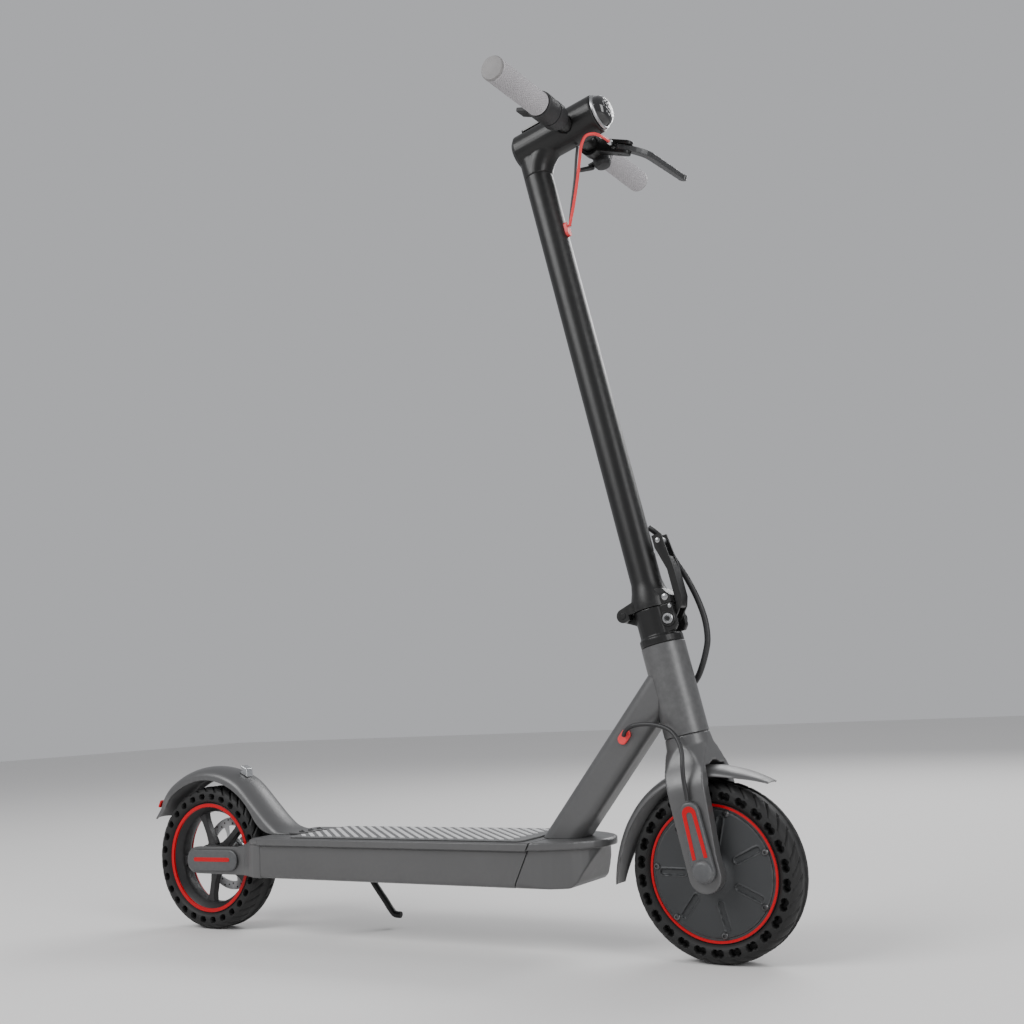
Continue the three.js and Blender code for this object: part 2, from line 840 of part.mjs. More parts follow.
function makeFork() {
  const front = new THREE.Shape();
  const half = headTubeRadius;
  front.moveTo(-half, crownTop);
  front.bezierCurveTo(-half - 1, shoulder + 22, -half - 4, shoulder + 10, -shoulderHalf, shoulder);
  front.bezierCurveTo(-legOuter + 4, shoulder - 14, -legOuter, shoulder - 22, -legOuter, shoulder - 40);
  front.lineTo(-legOuter, -legRadius);
  front.lineTo(-legInner, -legRadius);
  front.lineTo(-legInner, archTop - legInner);
  front.absarc(0, archTop - legInner, legInner, Math.PI, 0, true);
  front.lineTo(legInner, -legRadius);
  front.lineTo(legOuter, -legRadius);
  front.lineTo(legOuter, shoulder - 40);
  front.bezierCurveTo(legOuter, shoulder - 22, legOuter - 4, shoulder - 14, shoulderHalf, shoulder);
  front.bezierCurveTo(half + 4, shoulder + 10, half + 1, shoulder + 22, half, crownTop);
  const side = new THREE.Shape();
  side.moveTo(half, crownTop);
  side.bezierCurveTo(half, crownTop - 40, legCentre + legRadius + 4, 60, legCentre + legRadius, 20);
  side.absarc(legCentre, 0, legRadius, 0, Math.PI, true);
  side.lineTo(legCentre - legRadius, crownTop - 80);
  side.bezierCurveTo(legCentre - legRadius, crownTop - 40, -half, crownTop - 30, -half, crownTop);
  const round = turned(
    [
      [0, crownTop],
      [headTubeRadius, crownTop],
      [headTubeRadius + 1.5, crownTop - 14],
      [shoulderHalf + 3, shoulder + 4],
      [legOuter + 6, shoulder - 16],
      [legOuter + 28, shoulder - 60],
      [legOuter + 28, -40],
      [0, -40],
    ],
    36,
  );
  const legs = meet(
    meet(frontPlate(front, -40, 40, 10), sidePlate(side, -legOuter, legOuter, 12)),
    round,
  );
  const steerer = rod(steererRadius, archTop + 8, steererTop, 28);
  const axleHole = rodAcross(frontAxleRadius + gap, -70, 70, -axleSetback, 0);
  const room = frontFenderHalfWidth + gap;
  const fenderRoom = rodAcross(frontFenderRadius + 1, -room, room, -axleSetback, 0, 60);
  return cut(join(legs, steerer), axleHole, fenderRoom);
}

const forkCoverTop = 88;
const forkCoverTopRadius = 12;
const forkCoverLowRadius = 14.5;
const forkBossRadius = 13;

function makeForkCover() {
  const inner = legOuter + gap;
  const plan = link([0, 6, forkCoverLowRadius], [2, forkCoverTop - 12, forkCoverTopRadius]);
  const body = sidePlate(plan, inner, inner + 8, 8);
  const boss = rodAcross(forkBossRadius, inner + 7, inner + 13, 0, 6, 20);
  const axleRoom = rodAcross(frontAxleRadius + 1, inner - 1, inner + 5, -axleSetback, 0, 16);
  return cut(join(body, boss), axleRoom);
}

add(steering, "fork", makeFork(), "frameGrey");
add(steering, "fork_cover_left", makeForkCover(), "frameGrey");
add(steering, "fork_cover_right", mirrored(makeForkCover()), "frameGrey");

// ---------------------------------------------------------------- hub motor
const motorAxleHalf = legOuter + 3;
const coverSeat = 76;
const statorRadius = 64;

function makeMotorShell() {
  const bore = frontAxleRadius + 2;
  return wheelTurned([
    [rimRadius, -rimHalfWidth],
    [rimRadius, rimHalfWidth],
    [rimRadius - 11, 24],
    [22, 28],
    [bore, 28],
    [bore, 24],
    [22, 24],
    [rimRadius - 13, 20],
    [rimRadius - 13, -rimHalfWidth + 4],
    [coverSeat + gap, -rimHalfWidth + 4],
    [coverSeat + gap, -rimHalfWidth],
  ]);
}

function makeMotorCover() {
  const bore = frontAxleRadius + 2;
  return wheelTurned([
    [coverSeat, -rimHalfWidth + 4 - gap],
    [coverSeat, -rimHalfWidth - 1],
    [coverSeat - 8, -rimHalfWidth - 3],
    [24, -rimHalfWidth - 5],
    [20, -rimHalfWidth - 9],
    [bore, -rimHalfWidth - 9],
    [bore, -rimHalfWidth + 1],
    [coverSeat - 12, -rimHalfWidth + 1],
    [coverSeat - 12, -rimHalfWidth + 4 - gap],
  ]);
}

function makeStator() {
  return wheelTurned([
    [frontAxleRadius + gap, -11],
    [statorRadius, -11],
    [statorRadius, 11],
    [frontAxleRadius + gap, 11],
  ]);
}

add(scooter, "motor_shell", makeMotorShell().translate(wheelbase, 0, tyreRadius), "hubGrey");
add(scooter, "motor_cover", makeMotorCover().translate(wheelbase, 0, tyreRadius), "hubGrey");
add(scooter, "motor_stator", makeStator().translate(wheelbase, 0, tyreRadius), "steel");
add(
  steering,
  "motor_axle",
  rodAcross(frontAxleRadius, -motorAxleHalf, motorAxleHalf, -axleSetback, 0),
  "steel",
);

// ---------------------------------------------------------------- front fender
const frontSkirt = 13;
const frontFenderFlare = 12;
const frontFenderFrom = radians(54);
const frontFenderTo = radians(188);
const fenderSteps = 18;
const tipTaper = 21; // how much each side draws in by the fender's tips

// A point of the front fender's arc. It flares away from the wheel over its last 45 degrees at the
// back and a little at the front.
function frontFenderPoint(angle, inset) {
  const behind = Math.max(0, angle - (frontFenderTo - radians(45))) / radians(45);
  const ahead = Math.max(0, radians(80) - angle) / radians(26);
  const radius = frontFenderRadius - inset + frontFenderFlare * behind ** 2 + 5 * ahead ** 2;
  return [wheelbase + radius * Math.cos(angle), tyreRadius + radius * Math.sin(angle)];
}

// Its skirts are deepest by the fork and taper to both tips.
function frontSkirtAt(angle) {
  const share = (angle - frontFenderFrom) / (frontFenderTo - frontFenderFrom);
  const taper = Math.min(1, Math.max(0, share) / 0.3, Math.max(0, 1 - share) / 0.3);
  return fenderThickness + 1 + (frontSkirt - fenderThickness - 1) * Math.sin((taper * Math.PI) / 2);
}

function frontFenderBand(outerInset, innerInset, extra) {
  const points = [];
  const from = frontFenderFrom - extra;
  const to = frontFenderTo + extra;
  const angles = [];
  for (let i = 0; i <= fenderSteps; i++) angles.push(from + ((to - from) * i) / fenderSteps);
  for (const angle of angles) points.push(frontFenderPoint(angle, outerInset));
  for (const angle of angles.reverse()) points.push(frontFenderPoint(angle, innerInset(angle)));
  return polygon(points);
}

function makeFrontFender() {
  const outer = sidePlate(
    frontFenderBand(0, frontSkirtAt, 0),
    -frontFenderHalfWidth,
    frontFenderHalfWidth,
  );
  const inside = frontFenderHalfWidth - fenderThickness;
  const hollow = sidePlate(
    frontFenderBand(fenderThickness, () => frontSkirt + 5, radians(3)),
    -inside,
    inside,
  );
  // Both tips narrow to a blunt point.
  const edge = frontFenderHalfWidth + 1;
  const tip = edge - tipTaper;
  const ahead = polygon([
    [wheelbase + 40, edge],
    [wheelbase + 90, edge],
    [wheelbase + 90, tip],
  ]);
  const behind = polygon([
    [edge, tyreRadius + 62],
    [edge, tyreRadius - 28],
    [tip, tyreRadius - 28],
  ]);
  const trims = [
    topPlate(ahead, tyreRadius + 60, tyreRadius + 140),
    frontPlate(behind, wheelbase - 160, wheelbase - 60),
  ];
  return cut(outer, hollow, ...trims, ...trims.map((trim) => mirrored(trim)));
}

add(scooter, "front_fender", makeFrontFender(), "frameGrey");

// ---------------------------------------------------------------- folding base
const bracketHalf = 19;
const bracketFront = 34;
const leverPinX = 24;
const leverPinZ = splitHeight - 19.5;
const leverPinRadius = 3;
const leverOuter = 11;
const leverPlate = 3;
const leverEye = 6;
const lugHalf = 9.7;
const lugRadius = 9;

function makeFoldingBase() {
  const body = turned(
    [
      [0, baseLow],
      [baseRadius + 2.5, baseLow],
      [baseRadius + 2.5, baseLow + 9],
      [baseRadius, baseLow + 12],
      [baseRadius, splitHeight],
      [0, splitHeight],
    ],
    30,
  );
  const lug = sidePlate(
    link([-foldPinBack, foldPinHeight, lugRadius], [-14, splitHeight - 10, 10]),
    -lugHalf,
    lugHalf,
    8,
  );
  const bracket = sidePlate(
    polygon([
      [0, baseLow + 12],
      [bracketFront - 5, baseLow + 12],
      [bracketFront, baseLow + 18],
      [bracketFront, splitHeight],
      [0, splitHeight],
    ]),
    -bracketHalf,
    bracketHalf,
  );
  const lugFront = -foldPinBack + lugRadius;
  const top = block(lugFront, 60, -40, 40, splitHeight, splitHeight + 30);
  const leverSlot = leverOuter + gap;
  const slotBack = leverPinX - leverEye - 1;
  const cheeks = block(slotBack, 60, -leverSlot, leverSlot, baseLow + 12, splitHeight + 1);
  return cut(
    join(body, lug, bracket),
    top,
    cheeks,
    rod(steererRadius + gap, baseLow - 1, steererTop + gap),
    rodAcross(foldPinRadius + gap, -40, 40, -foldPinBack, foldPinHeight),
    rodAcross(leverPinRadius + gap, -40, 40, leverPinX, leverPinZ),
  );
}

const earHalf = 19;

add(steering, "folding_base", makeFoldingBase(), "satinBlack");
add(
  steering,
  "fold_pin",
  rodAcross(foldPinRadius, -earHalf - 1, earHalf + 1, -foldPinBack, foldPinHeight, 20),
  "steel",
);

// ---------------------------------------------------------------- folding lever and safety catch
const leverInner = leverOuter - leverPlate;
const leverTop = leverPinZ + 110;
const leverFront = stemRadius + 25.5;
const catchPinX = stemRadius + 14.5;
const catchPinZ = leverPinZ + 102;
const catchReach = 20;

// A folded plate: an eye at its root, two side plates and a web along its front.
function makeFoldLever() {
  const profile = new THREE.Shape();
  profile.absarc(leverPinX, leverPinZ, leverEye, radians(150), radians(-50), false);
  profile.lineTo(leverFront - 4, leverPinZ + 12);
  profile.lineTo(leverFront, leverPinZ + 24);
  profile.lineTo(leverFront, leverPinZ + 62);
  profile.lineTo(leverFront - 5, leverTop);
  profile.lineTo(leverFront - 18, leverTop);
  profile.lineTo(leverFront - 18, leverTop - 16);
  profile.lineTo(leverFront - 9, leverPinZ + 62);
  profile.lineTo(leverFront - 9, leverPinZ + 16);
  const left = sidePlate(profile, leverInner, leverOuter, 6);
  const web = sidePlate(
    polygon([
      [leverFront - 7, leverPinZ + 10],
      [leverFront - 4, leverPinZ + 12],
      [leverFront, leverPinZ + 24],
      [leverFront, leverPinZ + 62],
      [leverFront - 3, leverPinZ + 79],
      [leverFront - 6.5, leverPinZ + 79],
      [leverFront - 3.5, leverPinZ + 62],
      [leverFront - 3.5, leverPinZ + 25],
    ]),
    -leverInner - 0.5,
    leverInner + 0.5,
  );
  const pivotEnd = bracketHalf + 2;
  const pivot = rodAcross(leverPinRadius, -pivotEnd, pivotEnd, leverPinX, leverPinZ, 20);
  const catchPin = rodAcross(2.5, -leverOuter - 0.5, leverOuter + 0.5, catchPinX, catchPinZ, 12);
  return join(left, mirrored(left), web, pivot, catchPin);
}

function makeSafetyCatch() {
  const half = leverInner - gap;
  const eye = rodAcross(5, -half, half, catchPinX, catchPinZ, 16);
  const tongue = sidePlate(
    polygon([
      [catchPinX - 8, catchPinZ - catchReach],
      [catchPinX - 2, catchPinZ - catchReach + 3],
      [catchPinX + 2, catchPinZ],
      [catchPinX - 4, catchPinZ + 1],
      [catchPinX - 11, catchPinZ - catchReach + 8],
    ]),
    -half,
    half,
  );
  const hole = rodAcross(2.5 + gap, -40, 40, catchPinX, catchPinZ, 12);
  return cut(join(eye, tongue), hole);
}

add(steering, "fold_lever", makeFoldLever(), "satinBlack");
add(steering, "safety_catch", makeSafetyCatch(), "steel");

// ---------------------------------------------------------------- stem
const footHeight = 26;

function makeStem() {
  const low = splitHeight + gap;
  const bore = stemRadius - stemWall;
  const tube = turned(
    [
      [bore, low],
      [baseRadius + 1, low],
      [baseRadius + 1, low + 12],
      [stemRadius + 2, low + footHeight],
      [stemRadius, low + footHeight + 10],
      [stemRadius, stemTop],
      [bore, stemTop],
    ],
    30,
  );
  const ear = sidePlate(
    link([-foldPinBack, foldPinHeight, lugRadius], [-16, splitHeight + 6, 9]),
    lugHalf + gap,
    earHalf,
    8,
  );
  const boss = sidePlate(
    polygon([
      [0, low],
      [bracketFront, low],
      [bracketFront, low + 9],
      [bracketFront - 8, low + 20],
      [0, low + footHeight],
    ]),
    -bracketHalf + 1,
    bracketHalf - 1,
  );
  const below = block(-foldPinBack + 8, 0, -30, 30, splitHeight - 30, low);
  const slot = block(-60, -foldPinBack + lugRadius + 3, -lugHalf - gap, lugHalf + gap, low - 20, low + 30);
  const inside = rod(bore, low - 1, low + 60);
  const pin = rodAcross(foldPinRadius + gap, -40, 40, -foldPinBack, foldPinHeight);
  return cut(join(tube, ear, mirrored(ear), boss), below, slot, inside, pin);
}

const stemGrommetHeight = stemTop - 92;

function makeStemGrommet() {
  const outline = roundedRectangle(11, 22, 5.4, 0, stemGrommetHeight);
  const plug = frontPlate(outline, 12, stemRadius + 4, 4);
  return cut(plug, rod(stemRadius + gap, stemGrommetHeight - 30, stemGrommetHeight + 30, 30));
}

add(steering, "stem", makeStem(), "satinBlack");
add(steering, "stem_grommet", makeStemGrommet(), "red");

// ---------------------------------------------------------------- stem head, display and headlight
const panelRear = -2;
const panelLength = 62;
const panelHalf = 15;
const panelDepth = 2.4;
const buttonX = panelRear + 44;
const buttonRadius = 6;
const panelFloor = headCentre + headRadius - panelDepth - 0.6;

function makeStemHead() {
  const neckBottom = stemTop + gap;
  const neck = rod(stemRadius, neckBottom, headCentre, 30);
  const barrel = rod(headRadius, -stemRadius + 6, headReach, 30)
    .rotateY(Math.PI / 2)
    .translate(0, 0, headCentre);
  const heel = turned(
    [
      [0, -stemRadius],
      [headRadius - 6, -stemRadius],
      [headRadius, -stemRadius + 6.5],
      [0, -stemRadius + 6.5],
    ],
    30,
  )
    .rotateY(Math.PI / 2)
    .translate(0, 0, headCentre);
  const elbow = cable(
    [
      [0, 0, neckBottom - 6],
      [1, 0, neckBottom + 6],
      [9, 0, neckBottom + 22],
      [26, 0, headCentre - 10],
      [48, 0, headCentre - 4],
      [headReach - 30, 0, headCentre - 1],
    ],
    2 * stemRadius + 1,
    9,
    28,
  );
  const under = block(-60, 60, -60, 60, neckBottom - 60, neckBottom);
  const top = headCentre + headRadius;
  const pocket = block(
    panelRear - gap,
    panelRear + panelLength + gap,
    -panelHalf - gap,
    panelHalf + gap,
    panelFloor,
    top + 5,
  );
  const bar = rodAcross(barRadius + gap, -40, 40, barForward, barHeight);
  const buttonWell = rod(buttonRadius + 1, panelFloor - 5, panelFloor + 1).translate(buttonX, 0, 0);
  return cut(join(neck, barrel, heel, elbow), pocket, bar, buttonWell, under);
}

function makeDisplay() {
  const plan = roundedRectangle(panelLength, 2 * panelHalf, 4, panelRear + panelLength / 2, 0);
  const plate = topPlate(plan, panelFloor + gap, panelFloor + gap + panelDepth, 3);
  const hole = rod(buttonRadius + gap, panelFloor - 1, panelFloor + 9).translate(buttonX, 0, 0);
  return cut(plate, hole);
}

function makeButton() {
  const cap = rod(buttonRadius, panelFloor - 3.2, panelFloor + gap + panelDepth + 0.8, 20);
  return cap.translate(buttonX, 0, 0);
}

function makeHeadlight() {
  const low = headReach + gap;
  return turned(
    [
      [0, low],
      [headRadius - 2, low],
      [headRadius - 2, low + 4],
      [headRadius - 5, low + 11],
      [headRadius - 12, low + 17],
      [0, low + 20],
    ],
    28,
  )
    .rotateY(Math.PI / 2)
    .translate(0, 0, headCentre);
}

add(steering, "stem_head", makeStemHead(), "satinBlack");
add(steering, "display_panel", makeDisplay(), "lens");
add(steering, "power_button", makeButton(), "gripGrey");
add(steering, "headlight", makeHeadlight(), "lens");

// ---------------------------------------------------------------- handlebar and grips
// A ring round the handlebar, from [radius, y] corners.
function roundBar(profile, sides = 28) {
  return turned(
    profile.map(([radius, y]) => [radius, -y]),
    sides,
  )
    .rotateX(Math.PI / 2)
    .translate(barForward, 0, barHeight);
}

const barEnd = barHalfLength - 3;

function makeHandlebar() {
  const bar = rodAcross(barRadius, -barEnd, barEnd, barForward, barHeight, 28);
  const bore = rodAcross(barRadius - 2, -barEnd - 1, barEnd + 1, barForward, barHeight, 20);
  return cut(bar, bore);
}

function makeGrip() {
  const inner = barHalfLength - gripLength;
  return roundBar([
    [barRadius + gap, inner],
    [gripRadius, inner],
    [gripRadius, barHalfLength - 1.5],
    [gripRadius - 1.5, barHalfLength],
    [0, barHalfLength],
    [0, barEnd + gap],
    [barRadius + gap, barEnd + gap],
  ]);
}

// ---------------------------------------------------------------- thumb throttle on the right
const throttleOut = barHalfLength - gripLength - gap;
const throttleIn = 40;
const ringIn = 66;
const ringOut = 78;
const throttleRadius = 19;
const ringInner = 14;
const thumbReach = 19;
const thumbRise = radians(22);

function makeThrottleHousing() {
  return roundBar([
    [barRadius + gap, -throttleOut],
    [throttleRadius - 1, -throttleOut],
    [throttleRadius, -throttleOut + 4],
    [throttleRadius, -ringOut - gap],
    [ringInner - gap, -ringOut - gap],
    [ringInner - gap, -ringIn + gap],
    [throttleRadius, -ringIn + gap],
    [throttleRadius, -throttleIn - 12],
    [throttleRadius - 4, -throttleIn],
    [barRadius + gap, -throttleIn],
  ]);
}

function makeThrottleLever() {
  const ring = roundBar([
    [ringInner, -ringOut],
    [throttleRadius - 0.5, -ringOut],
    [throttleRadius - 0.5, -ringIn],
    [ringInner, -ringIn],
  ]);
  const near = -ringInner - 1.5;
  const clear = -throttleRadius - 1.5;
  const tip = clear - thumbReach;
  const paddle = polygon([
    [near, -ringIn],
    [near, -ringOut],
    [clear, -ringOut],
    [clear - 3, -ringOut - 9],
    [tip, -ringOut - 12],
    [tip, -ringIn - 4],
    [clear - 3, -ringIn + 3],
    [clear, -ringIn],
  ]);
  const plate = topPlate(paddle, -3, 3).rotateY(thumbRise).translate(barForward, 0, barHeight);
  return join(ring, plate);
}

add(steering, "handlebar", makeHandlebar(), "satinBlack");
add(steering, "grip_left", makeGrip(), "gripGrey");
add(steering, "grip_right", mirrored(makeGrip()), "gripGrey");
add(steering, "throttle_housing", makeThrottleHousing(), "plasticBlack");
add(steering, "throttle_lever", makeThrottleLever(), "plasticBlack");

// ---------------------------------------------------------------- brake lever on the left
// The lever works in a plane that drops forward from the handlebar. Its group has x along that plane
// and z along the lever's pivot.
const leverDrop = radians(31.5);
const pivotReach = 48;
const pivotY = 60;
const leverTip = [46, 117];
const leverKnee = [33, 25];
const leverHalf = 4;
const clampHalf = 8.6;
const clampDepth = 9.5;
const barrelEnd = 16.5; // end of the cable's barrel, from the middle of the clamp

const brake = new THREE.Group();
brake.position.set(
  barForward + pivotReach * Math.cos(leverDrop),
  pivotY,
  barHeight - pivotReach * Math.sin(leverDrop),
);
brake.rotation.y = leverDrop;
steering.add(brake);

function makeBrakeClamp() {
  const half = clampHalf;
  const ring = rodAcross(17, -half, half, -pivotReach, 0, 24);
  const body = topPlate(roundedRectangle(56, 2 * half, 8, -11, 0), -clampDepth, clampDepth, 5);
  const barrel = rodAcross(4.5, -barrelEnd, -half + 1, -8, 0, 12);
  const slot = block(-10, 30, -20, 20, -leverHalf - gap, leverHalf + gap);
  const pin = rod(2.5 + gap, -20, 20, 16);
  const bore = rodAcross(barRadius + gap, -30, 30, -pivotReach, 0, 28);
  const cable = rodAcross(1.6 + gap, -barrelEnd - 20, -half + 2, -8, 0, 8);
  return cut(join(ring, body, barrel), slot, pin, bore, cable);
}

function makeBrakeLever() {
  const blade = new THREE.Shape();
  const [kneeX, kneeY] = leverKnee;
  const [tipX, tipY] = leverTip;
  blade.moveTo(-2, -7);
  blade.lineTo(7, -5);
  blade.bezierCurveTo(24, 0, kneeX + 8, kneeY - 11, kneeX + 7.5, kneeY + 6);
  blade.lineTo(tipX + 4, tipY - 4);
  blade.absarc(tipX, tipY, 6.5, radians(-20), radians(200), false);
  blade.lineTo(kneeX - 5, kneeY + 8);
  blade.bezierCurveTo(kneeX - 6, kneeY - 2, 10, 10, 0, 8);
  blade.absarc(0, 0, 8, radians(100), radians(240), false);
  const body = topPlate(blade, -leverHalf, leverHalf, 6);
  const pin = rod(2.5, -clampDepth + gap, clampDepth - gap, 12);
  return join(body, pin);
}

add(brake, "brake_clamp", makeBrakeClamp(), "satinBlack");
add(brake, "brake_lever", makeBrakeLever(), "satinBlack");

// ---------------------------------------------------------------- bell
const bellIn = 73;
const bellOut = 91;
const bellY = (bellIn + bellOut) / 2;
const bellPivotX = barForward - 18;
const bellRing = barRadius + 4.5;
const bellDrop = barHeight - barRadius - 2; // top of the dome

function makeBell() {
  const ring = roundBar([
    [barRadius + gap, bellIn],
    [bellRing, bellIn],
    [bellRing, bellOut],
    [barRadius + gap, bellOut],
  ]);
  const dome = turned(
    [
      [0, bellDrop],
      [13, bellDrop],
      [13, bellDrop - 8],
      [10, bellDrop - 13],
      [0, bellDrop - 15],
    ],
    24,
  ).translate(barForward, bellY, 0);
  const post = rod(2, bellDrop - 8, bellDrop + 0.4, 10).translate(bellPivotX, bellY, 0);
  const shelf = block(bellPivotX - 3, barForward, bellY - 4, bellY + 4, bellDrop - 2.5, bellDrop + 0.6);
  return join(ring, dome, post, shelf);
}

function makeBellLever() {
  const plan = link([bellPivotX, bellY, 4], [bellPivotX - 14, bellY - 9, 3]);
  const plate = topPlate(plan, bellDrop - 7.5, bellDrop - 3.5, 5);
  return cut(plate, rod(2 + gap, barHeight - 40, barHeight, 10).translate(bellPivotX, bellY, 0));
}

add(steering, "bell", makeBell(), "plasticBlack");
add(steering, "bell_lever", makeBellLever(), "plasticBlack");

// ---------------------------------------------------------------- cables
const brakeCableRoute = [
  [103.1, 42.6, barHeight - 20.9],
  [103.8, 34, barHeight - 21.6],
  [106, 16, barHeight - 26],
  [107, -2, barHeight - 30],
  [103, -17, barHeight - 31],
  [95, -26, barHeight - 34],
  [86, -28, barHeight - 45],
  [76, -23, barHeight - 61],
  [58, -13, barHeight - 88],
  [40, -5, barHeight - 114],
  [27.2, -1.5, barHeight - 133],
];
const signalCableRoute = [
  [68, 4, barHeight - 24],
  [62, 4, barHeight - 38],
  [52, 4, barHeight - 66],
  [36, 4, barHeight - 103],
  [29, 3, barHeight - 122],
  [26.4, 3, barHeight - 131],
];
const foldCableRoute = [
  [15.6, 18.6, splitHeight + 109],
  [19, 22.5, splitHeight + 104],
  [27, 24, splitHeight + 91],
  [36, 24, splitHeight + 60],
  [46, 24, splitHeight + 30],
  [53, 24, splitHeight - 2],
  [55, 24, splitHeight - 30],
  [51, 24, splitHeight - 55],
  [43, 24.5, splitHeight - 71],
  [34, 26, splitHeight - 84],
  [25, 28.5, splitHeight - 94],
  [15, 32, splitHeight - 101],
  [7, 34, splitHeight - 105],
];
const motorCableRoute = [
  [737, -32.3, 275],
  [741, -34.4, 281],
  [752, -37, 287],
  [770, -38, 289],
  [790, -39, 286.5],
  [806, -41, 280],
  [817, -45, 268],
  [823, -50, 253],
  [825, -55.6, 236],
  [826, -56.6, 220],
  [828, -56.8, 206],
  [828.8, -57, 197],
];

add(steering, "brake_cable", cable(brakeCableRoute, 4.2, 32), "red");
add(steering, "signal_cable", cable(signalCableRoute, 3.8, 16), "rubber");
add(steering, "fold_cable", cable(foldCableRoute, 8, 24), "rubber");
add(scooter, "motor_cable", cable(motorCableRoute, 5.5, 26), "rubber");

// ---------------------------------------------------------------- origin
// The part's origin is the middle of its footprint, on the ground.
const part = new THREE.Group();
part.add(scooter);
scooter.updateMatrixWorld(true);
const whole = new THREE.Box3().setFromObject(scooter, true);
scooter.position.x = -(whole.min.x + whole.max.x) / 2;

export default part;
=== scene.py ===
import json
import math

import bmesh
import bpy
from mathutils import Matrix, Vector

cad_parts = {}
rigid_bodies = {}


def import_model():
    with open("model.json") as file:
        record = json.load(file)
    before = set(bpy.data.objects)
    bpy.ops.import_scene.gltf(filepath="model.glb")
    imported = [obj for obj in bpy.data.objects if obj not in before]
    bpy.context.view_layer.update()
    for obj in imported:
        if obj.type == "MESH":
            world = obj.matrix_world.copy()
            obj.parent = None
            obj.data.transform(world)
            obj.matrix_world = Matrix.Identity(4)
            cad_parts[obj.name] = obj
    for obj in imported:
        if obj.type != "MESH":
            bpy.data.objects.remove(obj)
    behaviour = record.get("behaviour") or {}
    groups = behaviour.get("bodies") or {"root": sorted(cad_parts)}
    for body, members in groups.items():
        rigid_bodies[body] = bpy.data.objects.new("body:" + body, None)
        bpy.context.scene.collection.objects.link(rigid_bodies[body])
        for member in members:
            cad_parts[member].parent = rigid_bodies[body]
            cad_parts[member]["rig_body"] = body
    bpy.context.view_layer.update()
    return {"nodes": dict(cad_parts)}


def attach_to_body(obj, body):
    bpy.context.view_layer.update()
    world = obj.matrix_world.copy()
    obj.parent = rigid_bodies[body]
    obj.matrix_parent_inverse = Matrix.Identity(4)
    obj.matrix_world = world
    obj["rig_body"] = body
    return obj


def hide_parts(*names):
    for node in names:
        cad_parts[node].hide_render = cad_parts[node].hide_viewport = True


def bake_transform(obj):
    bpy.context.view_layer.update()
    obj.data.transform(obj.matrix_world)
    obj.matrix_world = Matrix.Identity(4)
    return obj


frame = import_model()

# Room: a plain pale floor and soft studio light, with the camera low on the scooter's right,
# ahead of the front wheel.
MM = 0.001
EYE = (1433.27, -1442.63, 327.37)
YAW = math.radians(30.893)
PITCH = math.radians(8.771)
ROLL = math.radians(-2.912)
LENS = 42.75
FOOTPRINT_MIDDLE = 413.5


def flat_material(name, colour, roughness):
    material = bpy.data.materials.new(name)
    material.use_nodes = True
    shader = material.node_tree.nodes["Principled BSDF"]
    shader.inputs["Base Color"].default_value = (*colour, 1)
    shader.inputs["Roughness"].default_value = roughness
    return material


def add_area_light(name, place, target, size, power, colour=(1, 1, 1)):
    light = bpy.data.lights.new(name, "AREA")
    light.shape = "RECTANGLE"
    light.size, light.size_y = size
    light.energy = power
    light.color = colour
    lamp = bpy.data.objects.new(name, light)
    bpy.context.scene.collection.objects.link(lamp)
    lamp.location = place
    lamp.rotation_euler = (Vector(target) - Vector(place)).to_track_quat("-Z", "Y").to_euler()


floor_mesh = bpy.data.meshes.new("floor")
floor_mesh.from_pydata([(-9, -9, 0), (9, -9, 0), (9, 9, 0), (-9, 9, 0)], [], [(0, 1, 2, 3)])
floor = bpy.data.objects.new("floor", floor_mesh)
floor_mesh.materials.append(flat_material("pale floor", (0.78, 0.77, 0.76), 0.8))
bpy.context.scene.collection.objects.link(floor)

world = bpy.data.worlds.new("studio")
bpy.context.scene.world = world
world.use_nodes = True
world.node_tree.nodes["Background"].inputs["Color"].default_value = (0.86, 0.87, 0.9, 1)
world.node_tree.nodes["Background"].inputs["Strength"].default_value = 0.55
add_area_light("key", (-1.4, -2.6, 2.6), (0, 0, 0.4), (2.2, 1.6), 95)
add_area_light("front fill", (3.2, -1.2, 1.7), (0.3, 0, 0.5), (1.2, 2.6), 55)
add_area_light("rim", (0.4, 2.8, 2.4), (0, 0, 0.5), (2.6, 1.2), 60)

forward = Vector((-math.sin(YAW) * math.cos(PITCH), math.cos(YAW) * math.cos(PITCH), math.sin(PITCH)))
level = Vector((math.cos(YAW), math.sin(YAW), 0))
above = level.cross(forward)
camera_right = math.cos(ROLL) * level + math.sin(ROLL) * above
camera_up = -math.sin(ROLL) * level + math.cos(ROLL) * above
camera_data = bpy.data.cameras.new("camera")
camera_data.sensor_width = 36
camera_data.lens = LENS
camera = bpy.data.objects.new("camera", camera_data)
bpy.context.scene.collection.objects.link(camera)
turn = Matrix((camera_right, camera_up, -forward)).transposed().to_4x4()
camera.matrix_world = Matrix.Translation(Vector((EYE[0] - FOOTPRINT_MIDDLE, EYE[1], EYE[2])) * MM) @ turn
bpy.context.scene.camera = camera

# Deck tray and front casting: a pressed aluminium tray and the nose casting that closes it. Both are
# powder coated satin grey, with the edges softened before coating.
CHASSIS = Matrix.Translation((-FOOTPRINT_MIDDLE * MM, 0, 0)) @ Matrix.Scale(MM, 4)


def new_group(name, inputs, outputs):
    group = bpy.data.node_groups.new(name, "ShaderNodeTree")
    for label, kind, value in inputs:
        socket = group.interface.new_socket(name=label, in_out="INPUT", socket_type=kind)
        socket.default_value = value
    for label, kind in outputs:
        group.interface.new_socket(name=label, in_out="OUTPUT", socket_type=kind)
    return group, group.nodes.new("NodeGroupInput"), group.nodes.new("NodeGroupOutput")


